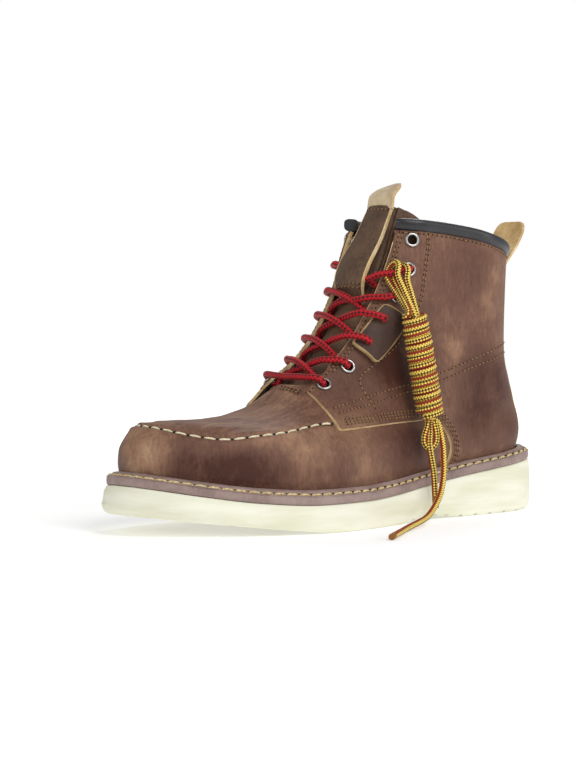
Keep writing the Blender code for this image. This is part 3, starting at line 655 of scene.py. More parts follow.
def upper_grid():
    """Rows of points from the feather line over the toe seam to the topline."""
    ring = plan_ring(FEATHER, FEATHER_HALF)
    grid = []
    for side in (1, -1):
        inner_half = np.vstack([ring[:1], ring[: FEATHER_HALF - 1 : -1]])
        base = ring[: FEATHER_HALF + 1] if side > 0 else inner_half
        run = lengths(base)
        rib = np.linspace(0, 1, HALF_RIBS + 1)
        top = pick(topline(side), np.interp(rib, RIB_SHARE, TOP_SHARE))
        part = np.interp(rib, RIB_SHARE, FOOT_SHARE) * run[-1]
        foot = np.column_stack([np.interp(part, run, base[:, a]) for a in (0, 1)])
        low = np.column_stack([foot, feather_height(foot[:, 0]) - WELT + 4 * GAP])
        inner = np.column_stack([np.interp(part, run, inset_side(base, side)[:, a]) for a in (0, 1)])
        seam = np.column_stack([inner, SEAM_HEIGHT + 0 * part])
        seam = settle(seam, along=(0, 0, 1), rounds=12)
        flank = np.clip((SEAM_END - foot[:, 0]) / SEAM_FADE, 0, 1)[:, None]
        plain = np.column_stack([foot, np.interp(foot[:, 0], MIDDLE_X, MIDDLE_HEIGHT)])
        seam = seam * (1 - flank) + plain * flank
        t = np.linspace(0, 1, WALL_ROWS + 1)[:-1, None, None]
        w = np.linspace(0, 1, TOP_ROWS + 1)[:, None, None]
        rows = np.concatenate([low * (1 - t) + seam * t, seam * (1 - w) + top * w])
        grid.append(rows if side > 0 else rows[:, -2:0:-1])
    return relax(np.concatenate(grid, 1))


def inset_side(base, side):
    """Feather line of one side moved in to the toe seam."""
    run = np.gradient(base, axis=0)
    normal = np.column_stack([-run[:, 1], run[:, 0]]) / np.linalg.norm(run, axis=1)[:, None]
    return base + side * normal * SEAM_INSET


def relax(grid, rounds=24):
    """Even out the inner rows on the form, keeping both edges and the toe seam."""
    shape = grid[1:-1].shape
    held = np.zeros(grid.shape[:2], bool)
    held[WALL_ROWS] = grid[WALL_ROWS, :, 0] > SEAM_END
    for turn in range(rounds):
        beside = (np.roll(grid, 1, 1) + np.roll(grid, -1, 1))[1:-1] * 0.04
        moved = grid[1:-1] * 0.5 + beside + (grid[2:] + grid[:-2]) * 0.21
        moved = settle(moved.reshape(-1, 3), rounds=6 if turn < 2 else 2)
        grid[1:-1] = np.where(held[1:-1, :, None], grid[1:-1], moved.reshape(shape))
    return grid


def spline_read(grid, at, closed):
    """Read rows of a grid at fractional places along a smooth curve through them."""
    i = np.floor(at).astype(int)
    w = (at - i)[:, None, None]
    if closed:
        a, b, c, d = (grid[(i + k) % len(grid)] for k in (-1, 0, 1, 2))
    else:
        i = np.minimum(i, len(grid) - 2)
        w = (at - i)[:, None, None]
        wide = np.concatenate([2 * grid[:1] - grid[1:2], grid, 2 * grid[-1:] - grid[-2:-1]])
        a, b, c, d = (wide[i + k] for k in range(4))
    return b + w * 0.5 * (c - a + w * (2 * a - 5 * b + 4 * c - d + w * (3 * (b - c) + d - a)))


# Fine places between the coarse rows: up the wall, close together at the toe seam, and over the top
RIB_FINE = 7
LOW_PLACES = np.arange(0, 4.4, 0.17)
SEAM_PLACES = np.arange(4.4, 5.75, 0.075)
HIGH_PLACES = np.linspace(5.75, 12.6, 42)
# Rows that follow the topline's corners: first of them, length of the change
PULL_START, PULL_LONG = 11.2, 1.8
# Narrow last row along the topline: width, and most of the room that it may take
TRIM_WIDE, TRIM_SHARE = 1.2, 0.7


def fine_grid():
    """Upper read finely: closely near the toe seam, with the topline's own corners."""
    rows = np.concatenate([LOW_PLACES, SEAM_PLACES, HIGH_PLACES, [WALL_ROWS + TOP_ROWS]])
    grid = spline_read(upper_grid(), rows, False)
    cols = np.arange(0, 2 * HALF_RIBS, 1 / RIB_FINE)
    grid = spline_read(grid.swapaxes(0, 1), cols, True).swapaxes(0, 1)
    rib = np.minimum(cols, 2 * HALF_RIBS - cols) / HALF_RIBS
    share = np.interp(rib, RIB_SHARE, TOP_SHARE)
    top = np.where((cols <= HALF_RIBS)[:, None], pick(topline(1), share), pick(topline(-1), share))
    pull = ease((rows - PULL_START) / PULL_LONG)[:, None, None]
    grid = grid + (top - grid[-1]) * pull
    shape = grid.shape
    settled = settle(grid[1:-1].reshape(-1, 3), rounds=3).reshape(shape[0] - 2, *shape[1:])
    gap = np.linalg.norm(settled[-1] - grid[-1], axis=1, keepdims=True)
    trim = grid[-1] + unit(settled[-1] - grid[-1]) * np.minimum(TRIM_WIDE, TRIM_SHARE * gap)
    return np.concatenate([grid[:1], settled, trim[None], grid[-1:]])


def grid_normals(grid, closed=False):
    """Normals of a grid of points from its rows and columns."""
    up = np.gradient(grid, axis=0)
    across = (np.roll(grid, -1, 1) - np.roll(grid, 1, 1)) if closed else np.gradient(grid, axis=1)
    return unit(np.cross(across, up))


# Colour and finish


def linear(hex_colour):
    """sRGB hex value as a linear colour."""
    rgb = [int(hex_colour[i : i + 2], 16) / 255 for i in (0, 2, 4)]
    return (*[c / 12.92 if c <= 0.04045 else ((c + 0.055) / 1.055) ** 2.4 for c in rgb], 1.0)


def wire(tree, node, inputs):
    """Set inputs of a node to values or to outputs of other nodes; a node stands for its first output."""
    for key, value in inputs.items():
        if isinstance(value, bpy.types.Node):
            value = value.outputs[0]
        if isinstance(value, bpy.types.NodeSocket):
            tree.links.new(value, node.inputs[key])
        else:
            node.inputs[key].default_value = value


def add(tree, kind, inputs=None, stops=(), **settings):
    """Add a node with its settings and inputs; stops are the places and hex colours of a ramp."""
    new = tree.nodes.new(kind)
    for name, value in settings.items():
        setattr(new, name, value)
    for count, (place, colour) in enumerate(stops):
        points = new.color_ramp.elements
        point = points[count] if count < len(points) else points.new(place)
        point.position, point.color = place, linear(colour)
    wire(tree, new, inputs or {})
    return new


def per_mm(size):
    """Texture scale for a feature of a size in millimetres, on coordinates in metres."""
    return 1 / (size * MM)


def start_material(name, **sockets):
    """Principled material with constant sockets, its tree, shader and object coordinates."""
    material = bpy.data.materials.new(name)
    material.use_nodes = True
    tree = material.node_tree
    shader = tree.nodes["Principled BSDF"]
    wire(tree, shader, {key.replace("_", " "): value for key, value in sockets.items()})
    return material, tree, shader, add(tree, "ShaderNodeTexCoord").outputs["Object"]


# Clouds, blotches and upright streaks of the leather: size in mm, tilt, squeeze upwards, weight
LEATHER_LAYERS = ((44, 0.35, 1.0, 0.42), (13, 0.35, 1.0, 0.24), (1.7, 0.0, 0.28, 0.34))


def oiled_leather(name, dark, base, tan, light, tone=True, wear=1.0):
    """Waxed pull-up leather: a brown that lightens where it is rubbed or stretched, over a fine grain, with
    cloudy dark patches, faint streaks and small scratches, half matt. Its tone attribute adds worn patches
    together with painted highlight and shade, and its drawn streaks carry painted sheen and shade with their
    relief. The grain is drawn about three times as coarse as it is, so that it shows."""
    material, tree, shader, at = start_material(name, IOR=1.47, Specular_IOR_Level=0.3)
    layers = []
    for size, tilt, squeeze, weight in LEATHER_LAYERS:
        turned = add(tree, "ShaderNodeMapping", {
            "Vector": at, "Rotation": (tilt / 2, tilt, tilt), "Scale": (1.0, 1.0, squeeze)})
        layer = add(tree, "ShaderNodeTexNoise", {
            "Vector": turned, "Scale": per_mm(size), "Detail": 4.0, "Roughness": 0.66,
            "Distortion": 0.5})
        layers.append((layer, weight * wear))
    blotch, streaked = layers[1][0], layers[2][0]
    value = 0.5 - sum(weight for _, weight in layers) / 2
    for layer, weight in layers:
        value = add(tree, "ShaderNodeMath", {0: layer, 1: weight, 2: value}, operation="MULTIPLY_ADD")
    if tone:
        # The tone attribute holds worn patches and painted highlight and shade together
        worn = add(tree, "ShaderNodeAttribute", attribute_name="tone").outputs["Fac"]
        broken = add(tree, "ShaderNodeMath", {0: blotch, 1: 0.9, 2: -0.08}, operation="MULTIPLY_ADD",
                     use_clamp=True)
        worn = add(tree, "ShaderNodeMath", {0: worn, 1: broken}, operation="MULTIPLY")
        value = add(tree, "ShaderNodeMath", {0: value, 1: worn}, operation="ADD")
        long = add(tree, "ShaderNodeMapping", {"Vector": at, "Scale": (0.16, 1.0, 0.3)})
        pulled = add(tree, "ShaderNodeTexNoise", {
            "Vector": long, "Scale": per_mm(2.6), "Detail": 3.0, "Distortion": 0.3})
        drawn = add(tree, "ShaderNodeAttribute", attribute_name="drawn").outputs["Fac"]
        even = add(tree, "ShaderNodeMath", {0: pulled, 1: 0.5}, operation="SUBTRACT")
        crease = add(tree, "ShaderNodeMath", {0: even, 1: drawn}, operation="MULTIPLY")
        # Streak colour follows their relief: partly the leather's own pull-up, partly painted sheen on ridges
        # and painted shade in troughs
        value = add(tree, "ShaderNodeMath", {0: crease, 1: 0.3, 2: value}, operation="MULTIPLY_ADD")
    colour = add(tree, "ShaderNodeValToRGB", {"Fac": value},
                 stops=((0.22, dark), (0.47, base), (0.68, tan), (0.92, light)))
    slanted = add(tree, "ShaderNodeMapping", {
        "Vector": at, "Rotation": (0.5, 0.9, 0.3), "Scale": (2.0, 9.0, 0.6)})
    scratch = add(tree, "ShaderNodeTexNoise", {
        "Vector": slanted, "Scale": per_mm(16), "Detail": 2.0, "Distortion": 0.3})
    thin = add(tree, "ShaderNodeMapRange", {0: scratch, 1: 0.74, 2: 0.86, 4: 0.2 * wear})
    rubbed = add(tree, "ShaderNodeMix", {0: thin, 6: colour, 7: linear(light)}, data_type="RGBA")
    gloss = add(tree, "ShaderNodeMapRange", {0: streaked, 1: 0.3, 2: 0.7, 3: 0.44, 4: 0.68})
    grain = add(tree, "ShaderNodeTexVoronoi", {"Vector": at, "Scale": per_mm(1.5), "Randomness": 1.0},
                feature="SMOOTH_F1")
    wrinkle = add(tree, "ShaderNodeTexNoise", {
        "Vector": at, "Scale": per_mm(5), "Detail": 6.0, "Roughness": 0.62, "Distortion": 0.4})
    height = add(tree, "ShaderNodeMath", {0: wrinkle, 1: 1.6, 2: grain.outputs["Distance"]},
                 operation="MULTIPLY_ADD")
    if tone:
        height = add(tree, "ShaderNodeMath", {0: crease, 1: 2.0, 2: height}, operation="MULTIPLY_ADD")
    bump = add(tree, "ShaderNodeBump", {"Height": height, "Strength": 0.5, "Distance": 0.4 * MM})
    wire(tree, shader, {"Base Color": rubbed.outputs[2], "Roughness": gloss, "Normal": bump})
    return material


def mottled(name, dark, base, light, cloud, grain, relief, **sockets):
    """Clouds of colour broken by a grain that also stands out: size of the clouds, size, roughness and share
    of the grain, strength and height of its relief."""
    material, tree, shader, at = start_material(name, **sockets)
    size, rough, share = grain
    blotch = add(tree, "ShaderNodeTexNoise", {
        "Vector": at, "Scale": per_mm(cloud), "Detail": 4.0, "Roughness": 0.6})
    grit = add(tree, "ShaderNodeTexNoise", {
        "Vector": at, "Scale": per_mm(size), "Detail": 3.0, "Roughness": rough})
    value = add(tree, "ShaderNodeMath", {0: grit, 1: share, 2: blotch}, operation="MULTIPLY_ADD")
    colour = add(tree, "ShaderNodeValToRGB", {"Fac": value}, stops=(dark, base, light))
    bump = add(tree, "ShaderNodeBump", {"Height": grit, "Strength": relief[0], "Distance": relief[1] * MM})
    wire(tree, shader, {"Base Color": colour, "Normal": bump})
    return material


def napped(name, dark, base, light, nap=0.9, sheen=0.25):
    """Suede and cut leather edges: loose fibres scatter the light, so there is no shine and the colour
    shifts in small soft blotches. The nap is drawn coarser than it is, so that it shows."""
    return mottled(name, (0.5, dark), (0.72, base), (0.95, light), 11, (nap, 0.8, 0.45), (0.5, 0.4),
                   Roughness=0.95, Specular_IOR_Level=0.15, Sheen_Weight=sheen)


def foam_rubber(name, low, high):
    """Blown wedge sole: pale cream, matt, with faint cloudy bands along the mould and tiny closed cells,
    drawn coarser than they are, so that they show."""
    material, tree, shader, at = start_material(name, Roughness=0.72, IOR=1.5, Specular_IOR_Level=0.3)
    flat = add(tree, "ShaderNodeMapping", {"Vector": at, "Scale": (0.22, 0.22, 1.6)})
    band = add(tree, "ShaderNodeTexNoise", {
        "Vector": flat, "Scale": per_mm(12), "Detail": 4.0, "Roughness": 0.55})
    cell = add(tree, "ShaderNodeTexNoise", {"Vector": at, "Scale": per_mm(1.6), "Detail": 2.0})
    colour = add(tree, "ShaderNodeValToRGB", {"Fac": band}, stops=((0.34, low), (0.62, high)))
    bump = add(tree, "ShaderNodeBump", {"Height": cell, "Strength": 0.18, "Distance": 0.4 * MM})
    wire(tree, shader, {"Base Color": colour, "Normal": bump})
    return material


def pressed_welt(name, dark, base, light, rough):
    """Dyed welt and midsole: a dusty mauve brown, wheeled smooth, with soft clouds and a fine grit, drawn
    coarser than it is, so that it shows."""
    return mottled(name, (0.45, dark), (0.66, base), (0.92, light), 16, (1.4, 0.7, 0.35), (0.22, 0.3),
                   Specular_IOR_Level=0.4, Roughness=rough)


def collar_cloth(name):
    """Coated black collar: satin, with a fine pebbled print that breaks up its highlight. The print
    is drawn coarser than it is, so that it shows."""
    material, tree, shader, at = start_material(name, Roughness=0.36, Specular_IOR_Level=0.5,
                                                Coat_Weight=0.15, Coat_Roughness=0.35)
    pebble = add(tree, "ShaderNodeTexVoronoi", {"Vector": at, "Scale": per_mm(0.9)}, feature="SMOOTH_F1")
    cloud = add(tree, "ShaderNodeTexNoise", {"Vector": at, "Scale": per_mm(14), "Detail": 3.0})
    colour = add(tree, "ShaderNodeValToRGB", {"Fac": cloud}, stops=((0.35, "131214"), (0.7, "26242A")))
    bump = add(tree, "ShaderNodeBump", {
        "Height": pebble.outputs["Distance"], "Strength": 0.25, "Distance": 0.2 * MM})
    wire(tree, shader, {"Base Color": colour, "Normal": bump})
    return material


def thread(name, dark, light):
    """Waxed sewing thread: tight twisted plies, drawn coarser than they are to show, with little gloss."""
    material, tree, shader, at = start_material(name, Roughness=0.6, Specular_IOR_Level=0.35)
    ply = add(tree, "ShaderNodeTexNoise", {
        "Vector": at, "Scale": per_mm(1.1), "Detail": 2.0, "Roughness": 0.7})
    colour = add(tree, "ShaderNodeValToRGB", {"Fac": ply}, stops=((0.35, dark), (0.62, light)))
    bump = add(tree, "ShaderNodeBump", {"Height": ply, "Strength": 0.4, "Distance": 0.3 * MM})
    wire(tree, shader, {"Base Color": colour, "Normal": bump})
    return material


def plated_brass(name):
    """Nickel plated brass: bright, slightly warm grey, with fine handling marks in the gloss."""
    material, tree, shader, at = start_material(name, Metallic=1.0, Base_Color=linear("B4B4B1"))
    haze = add(tree, "ShaderNodeTexNoise", {"Vector": at, "Scale": per_mm(1.5), "Detail": 3.0})
    gloss = add(tree, "ShaderNodeMapRange", {0: haze, 1: 0.3, 2: 0.7, 3: 0.16, 4: 0.34})
    wire(tree, shader, {"Roughness": gloss})
    return material


def braid(name, ground, shade, rows, period, mark):
    """Round braided polyester: the UV map counts the strands of both hands, so each unit is one strand's
    crossing. Marked rows run along the cord; every crossing has a painted highlight at its crown and painted
    shade at its edges, in the shade colour."""
    material, tree, shader, _ = start_material(name, Roughness=0.62, Specular_IOR_Level=0.3,
                                               Sheen_Weight=0.06)
    uv = add(tree, "ShaderNodeUVMap", uv_map="strands")
    split = add(tree, "ShaderNodeSeparateXYZ", {0: uv})
    whole, crown = [], []
    for axis in (0, 1):
        whole.append(add(tree, "ShaderNodeMath", {0: split.outputs[axis]}, operation="FLOOR"))
        part = add(tree, "ShaderNodeMath", {0: split.outputs[axis]}, operation="FRACT")
        wave = add(tree, "ShaderNodeMath", {0: part, 1: np.pi}, operation="MULTIPLY")
        crown.append(add(tree, "ShaderNodeMath", {0: wave}, operation="SINE"))
    bulge = add(tree, "ShaderNodeMath", {0: crown[0], 1: crown[1]}, operation="MULTIPLY")
    row = add(tree, "ShaderNodeMath", {0: whole[0], 1: whole[1]}, operation="ADD")
    place = add(tree, "ShaderNodeMath", {0: row, 1: float(period)}, operation="FLOORED_MODULO")
    # Painted shade between the crossings, going to the ground colour at their crowns
    colour = add(tree, "ShaderNodeValToRGB", {"Fac": bulge}, stops=((0.02, shade), (0.5, ground)))
    for number, row_colour, core in rows:
        here = add(tree, "ShaderNodeMath", {0: place, 1: float(number), 2: 0.5}, operation="COMPARE")
        over = add(tree, "ShaderNodeMath", {0: bulge, 1: core}, operation="GREATER_THAN")
        both = add(tree, "ShaderNodeMath", {0: here, 1: over}, operation="MULTIPLY")
        colour = add(tree, "ShaderNodeMix", {0: both, 6: colour, 7: linear(row_colour)},
                     data_type="RGBA").outputs[2]
    tip = add(tree, "ShaderNodeAttribute", attribute_name="tip").outputs["Fac"]
    colour = add(tree, "ShaderNodeMix", {0: tip, 6: colour, 7: linear(mark)}, data_type="RGBA").outputs[2]
    bump = add(tree, "ShaderNodeBump", {"Height": bulge, "Strength": 0.35, "Distance": 0.5 * MM})
    wire(tree, shader, {"Base Color": colour, "Normal": bump})
    return material


LEATHER = oiled_leather("oiled_leather", "45241A", "6C4B3C", "957158", "B89A7A")
PATCH_SKIN = oiled_leather("dark_patch_leather", "2A1C1A", "412E28", "54402F", "7A6048", tone=False)
STRAP_SKIN = oiled_leather("strap_leather", "30231D", "584335", "745A41", "9A7E5C", tone=False, wear=1.3)
TONGUE_SKIN = oiled_leather("tongue_leather", "33251F", "604838", "7C5D44", "9C7F5C", tone=False, wear=0.9)
FLESH = napped("leather_flesh_side", "5B3F31", "74543F", "8E6C52", nap=1.2)
RAW = napped("cut_leather_edge", "AE8E62", "D2B482", "E9D3AA", nap=0.7, sheen=0.1)
DARK_RAW = napped("cut_patch_edge", "7C6240", "A3865A", "BFA477", nap=0.7, sheen=0.1)
SUEDE = napped("tan_suede", "BC965C", "DAB67C", "ECD09C", nap=0.8)
PALE_SUEDE = napped("pale_suede", "A68E68", "C0AA86", "D4C2A2", nap=0.8)
CREAM = foam_rubber("blown_cream_rubber", "E2E1C7", "F0EFDD")
MIDSOLE_SKIN = pressed_welt("mauve_midsole", "7E6A65", "96807A", "A8938D", 0.62)
WELT_SKIN = pressed_welt("mauve_welt", "6E5953", "8D766F", "A58E87", 0.45)
INSOLE_SKIN = napped("insole_board", "87694A", "A68762", "BC9E79", nap=1.0)
BLACK = collar_cloth("coated_black_collar")
NICKEL = plated_brass("nickel_plated_brass")
MOC_THREAD = thread("cream_waxed_thread", "CFC096", "EFE6CB")
WELT_THREAD = thread("tan_welt_thread", "B0905E", "E6D2A2")
SEAM_THREAD = thread("brown_seam_thread", "68492F", "A07C52")
# Near black thread stands for painted shade: inside the needle holes and on one side of the welt's channel
HOLE_SHADE = thread("needle_hole", "120C0A", "241815")
# Marked rows of a braid: number, colour, share of each crossing left in the ground colour
RED_ROWS = ((0, "180507", 0.4),)
YELLOW_ROWS = ((0, "8E2A0E", 0.0), (1, "8E2A0E", 0.0), (3, "3A1C0C", 0.2))
RED_BRAID = braid("red_braid", "CC0F1E", "640A12", RED_ROWS, 3, "A3121A")
YELLOW_BRAID = braid("yellow_braid", "FFE468", "74491A", YELLOW_ROWS, 6, "8A5A22")


# Making pieces


def finish_piece(thing, slot, *nodes):
    """Put a piece on the boot's one body in place of its CAD nodes; the slot is not used."""
    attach(thing, "root")
    if nodes:
        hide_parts(*nodes)


def new_piece(name, points, faces, skins, skin_of=None, sharp=0.7):
    """Object from points in millimetres and faces, with a skin for each face."""
    mesh = bpy.data.meshes.new(name)
    faces = faces.tolist() if isinstance(faces, np.ndarray) else faces
    mesh.from_pydata((np.asarray(points) * MM).tolist(), [], faces)
    for skin in skins:
        mesh.materials.append(skin)
    if skin_of is not None:
        mesh.polygons.foreach_set("material_index", np.asarray(skin_of, np.int32))
    mesh.shade_smooth()
    mesh.set_sharp_from_angle(angle=sharp)
    thing = bpy.data.objects.new(name, mesh)
    bpy.context.scene.collection.objects.link(thing)
    return thing


def paint_points(thing, name, values):
    layer = thing.data.attributes.new(name, "FLOAT", "POINT")
    layer.data.foreach_set("value", np.asarray(values, np.float32))


def closed_sheet(name, outer, inner, skins, keep=None, wrap=False, tone=None, sharp=0.7, bare=None):
    """Closed piece between two grids of points: outside, cut edge and flesh side each in its own skin. Bare
    cells of the outside show the cut edge."""
    rows, cols = outer.shape[:2]
    across = cols if wrap else cols - 1
    keep = np.ones((rows - 1, across), bool) if keep is None else keep
    r, c = np.nonzero(keep)
    right = (c + 1) % cols
    a, b, d, e = r * cols + c, r * cols + right, (r + 1) * cols + right, (r + 1) * cols + c
    below = np.zeros_like(keep)
    below[1:] = keep[:-1]
    above = np.zeros_like(keep)
    above[:-1] = keep[1:]
    if wrap:
        left, after = np.roll(keep, 1, 1), np.roll(keep, -1, 1)
    else:
        left, after = np.zeros_like(keep), np.zeros_like(keep)
        left[:, 1:] = keep[:, :-1]
        after[:, :-1] = keep[:, 1:]
    count = rows * cols
    rim = []
    for p, q, shared in ((a, b, below), (b, d, after), (d, e, above), (e, a, left)):
        open_edge = ~shared[r, c]
        p, q = p[open_edge], q[open_edge]
        rim.append(np.column_stack([q, p, p + count, q + count]))
    rim = np.concatenate(rim)
    outside = np.column_stack([a, b, d, e])
    inside = np.column_stack([a, e, d, b]) + count
    faces = np.concatenate([outside, rim, inside])
    points = np.concatenate([outer.reshape(-1, 3), inner.reshape(-1, 3)])
    quad = points[outside[len(outside) // 2]]
    facing = np.cross(quad[1] - quad[0], quad[3] - quad[0]) @ (quad[0] - points[inside[len(outside) // 2][0]])
    if facing < 0:
        faces = faces[:, ::-1]
    used, place = np.unique(faces, return_inverse=True)
    skin = np.repeat((0, 1, 2), (len(outside), len(rim), len(inside)))
    if bare is not None:
        skin[: len(outside)][bare[r, c]] = 1
    thing = new_piece(name, points[used], place.reshape(faces.shape), skins, skin, sharp)
    if tone is not None:
        paint_points(thing, "tone", np.concatenate([tone.ravel(), tone.ravel()])[used])
    return thing


def backed(grid, thick, closed=False):
    """Inner side of a sheet: the grid moved in by its thickness."""
    return grid - grid_normals(grid, closed) * thick


def ring_loft(name, rings, skins, closed=False, sharp=0.6, dark=None):
    """Solid through closed rings of equal count, capped by strips or joined end to end. One strip may have
    the second skin, as the welt's channel has for its painted shade."""
    count, size = len(rings), len(rings[0])
    k = np.arange(size)
    faces = []
    for r in range(count if closed else count - 1):
        a, b = r * size, (r + 1) % count * size
        faces += np.column_stack([a + k, a + (k + 1) % size, b + (k + 1) % size, b + k]).tolist()
    for a in () if closed else (0, (count - 1) * size):
        for j in range(size // 2):
            quad = [a + j, a + j + 1, a + (size - j - 1) % size, a + (size - j) % size]
            faces.append(list(dict.fromkeys(quad)))
    skin = np.zeros(len(faces), np.int32)
    if dark is not None:
        skin[dark * size : (dark + 1) * size] = 1
    thing = new_piece(name, np.concatenate(rings), faces, skins, skin, sharp=sharp)
    face_out(thing, sharp)
    return thing


def face_out(thing, sharp=0.6):
    shape = bmesh.new()
    shape.from_mesh(thing.data)
    bmesh.ops.recalc_face_normals(shape, faces=shape.faces)
    shape.to_mesh(thing.data)
    shape.free()
    thing.data.shade_smooth()
    thing.data.set_sharp_from_angle(angle=sharp)


def made_mesh(thing, name):
    """Plain mesh object in place of one with modifiers."""
    mesh = bpy.data.meshes.new_from_object(thing.evaluated_get(bpy.context.evaluated_depsgraph_get()))
    mesh.name = name
    bpy.data.objects.remove(thing)
    plain = bpy.data.objects.new(name, mesh)
    bpy.context.scene.collection.objects.link(plain)
    return plain


def stand_tree(name, sizes):
    """Empty tree with named sizes and a skin as inputs, and points turned by their own directions."""
    tree = bpy.data.node_groups.new(name, "GeometryNodeTree")
    tree.interface.new_socket("Places", in_out="INPUT", socket_type="NodeSocketGeometry")
    for size in sizes:
        tree.interface.new_socket(size, in_out="INPUT", socket_type="NodeSocketFloat")
    tree.interface.new_socket("Skin", in_out="INPUT", socket_type="NodeSocketMaterial")
    tree.interface.new_socket("Piece", in_out="OUTPUT", socket_type="NodeSocketGeometry")
    entry = add(tree, "NodeGroupInput").outputs
    along = add(tree, "GeometryNodeInputNamedAttribute", {"Name": "along"}, data_type="FLOAT_VECTOR")
    out = add(tree, "GeometryNodeInputNamedAttribute", {"Name": "out"}, data_type="FLOAT_VECTOR")
    axes = {"Primary Axis": along, "Secondary Axis": out}
    turn = add(tree, "FunctionNodeAxesToRotation", axes, primary_axis="X", secondary_axis="Z")
    return tree, entry, turn


def end_tree(tree, entry, turn, shape):
    """One copy of the shape on every place, realized, smooth and in its skin."""
    copies = add(tree, "GeometryNodeInstanceOnPoints", {"Points": entry["Places"], "Instance": shape,
                                                        "Rotation": turn})
    real = add(tree, "GeometryNodeRealizeInstances", {0: copies})
    smooth = add(tree, "GeometryNodeSetShadeSmooth", {"Geometry": real})
    skin = add(tree, "GeometryNodeSetMaterial", {"Geometry": smooth, "Material": entry["Skin"]})
    add(tree, "NodeGroupOutput", {0: skin})
    return tree


def stitch_tree():
    """Thread between two needle holes: a plump run, thinner and bowed down at its ends."""
    tree, entry, turn = stand_tree("stitches", ("Length", "Width", "Bow"))
    half = add(tree, "ShaderNodeMath", {0: entry["Length"], 1: 0.5}, operation="MULTIPLY")
    back = add(tree, "ShaderNodeMath", {0: half, 1: -1.0}, operation="MULTIPLY")
    ends = [add(tree, "ShaderNodeCombineXYZ", {0: x}) for x in (back, half)]
    line = add(tree, "GeometryNodeCurvePrimitiveLine", {"Start": ends[0], "End": ends[1]})
    run = add(tree, "GeometryNodeResampleCurve", {"Curve": line, "Count": 6})
    factor = add(tree, "GeometryNodeSplineParameter").outputs["Factor"]
    side = add(tree, "ShaderNodeMath", {0: factor, 1: 2.0, 2: -1.0}, operation="MULTIPLY_ADD")
    square = add(tree, "ShaderNodeMath", {0: side, 1: side}, operation="MULTIPLY")
    fourth = add(tree, "ShaderNodeMath", {0: square, 1: square}, operation="MULTIPLY")
    full = add(tree, "ShaderNodeMath", {0: fourth, 1: -0.8, 2: 1.0}, operation="MULTIPLY_ADD")
    root = add(tree, "ShaderNodeMath", {0: full}, operation="SQRT")
    wide = add(tree, "ShaderNodeMath", {0: entry["Width"], 1: 0.5}, operation="MULTIPLY")
    thick = add(tree, "ShaderNodeMath", {0: root, 1: wide}, operation="MULTIPLY")
    drop = add(tree, "ShaderNodeMath", {0: square, 1: entry["Bow"]}, operation="MULTIPLY")
    down = add(tree, "ShaderNodeMath", {0: drop, 1: -1.0}, operation="MULTIPLY")
    low = add(tree, "ShaderNodeCombineXYZ", {2: down})
    bowed = add(tree, "GeometryNodeSetPosition", {"Geometry": run, "Offset": low})
    ring = add(tree, "GeometryNodeCurvePrimitiveCircle", {"Resolution": 6, "Radius": 1.0})
    body = add(tree, "GeometryNodeCurveToMesh", {"Curve": bowed, "Profile Curve": ring,
                                                 "Scale": thick, "Fill Caps": True})
    return end_tree(tree, entry, turn, body)


def eyelet_tree():
    """Rolled rim on a barrel through the leather."""
    sizes = ("Rim radius", "Rim thickness", "Barrel radius", "Barrel length")
    tree, entry, turn = stand_tree("eyelets", sizes)
    rim = add(tree, "GeometryNodeCurvePrimitiveCircle", {"Resolution": 28, "Radius": entry["Rim radius"]})
    curl = add(tree, "GeometryNodeCurvePrimitiveCircle", {"Resolution": 10, "Radius": entry["Rim thickness"]})
    roll = add(tree, "GeometryNodeCurveToMesh", {"Curve": rim, "Profile Curve": curl})
    barrel = add(tree, "GeometryNodeMeshCylinder", {"Vertices": 28, "Radius": entry["Barrel radius"],
                                                    "Depth": entry["Barrel length"]}, fill_type="NONE")
    sink = add(tree, "ShaderNodeMath", {0: entry["Barrel length"], 1: -0.5}, operation="MULTIPLY")
    low = add(tree, "ShaderNodeCombineXYZ", {2: sink})
    place = add(tree, "GeometryNodeTransform", {"Geometry": barrel, "Translation": low})
    both = add(tree, "GeometryNodeJoinGeometry", {0: roll})
    tree.links.new(place.outputs[0], both.inputs[0])
    return end_tree(tree, entry, turn, both)


STITCHES, EYELET_SET = stitch_tree(), eyelet_tree()


def set_out(name, tree, rows, skin, **sizes):
    """Repeat a tree's shape on rows of (points, along, out), in millimetres, as one plain mesh."""
    points, along, out = (np.concatenate([row[i] for row in rows]) for i in range(3))
    mesh = bpy.data.meshes.new(name + "_places")
    mesh.from_pydata((points * MM).tolist(), [], [])
    for label, values in (("along", along), ("out", out)):
        layer = mesh.attributes.new(label, "FLOAT_VECTOR", "POINT")
        layer.data.foreach_set("vector", np.asarray(values, np.float32).ravel())
    thing = bpy.data.objects.new(name + "_places", mesh)
    bpy.context.scene.collection.objects.link(thing)
    step = thing.modifiers.new("places", "NODES")
    step.node_group = tree
    for item in tree.interface.items_tree:
        key = item.name.replace(" ", "_").lower()
        if item.in_out == "INPUT" and key in sizes:
            step[item.identifier] = sizes[key] * MM
        elif item.name == "Skin":
            step[item.identifier] = skin
    return made_mesh(thing, name)


def sewn(path, pitch, out=0.2, on_form=True):
    """Places of a row of stitches along a line: middles, directions and normals."""
    line = spaced(path, pitch)
    if on_form:
        line = settle(line, rounds=4)
    middle, along = (line[1:] + line[:-1]) / 2, unit(np.diff(line, axis=0))
    up = normals_at(middle)
    return middle + up * out, along, up


def between(row, pitch):
    """Needle holes at the ends of the stitches of a row."""
    middle, along, up = row
    spots = np.vstack([middle - along * pitch / 2, middle[-1:] + along[-1:] * pitch / 2])
    return spots, np.vstack([along, along[-1:]]), np.vstack([up, up[-1:]])


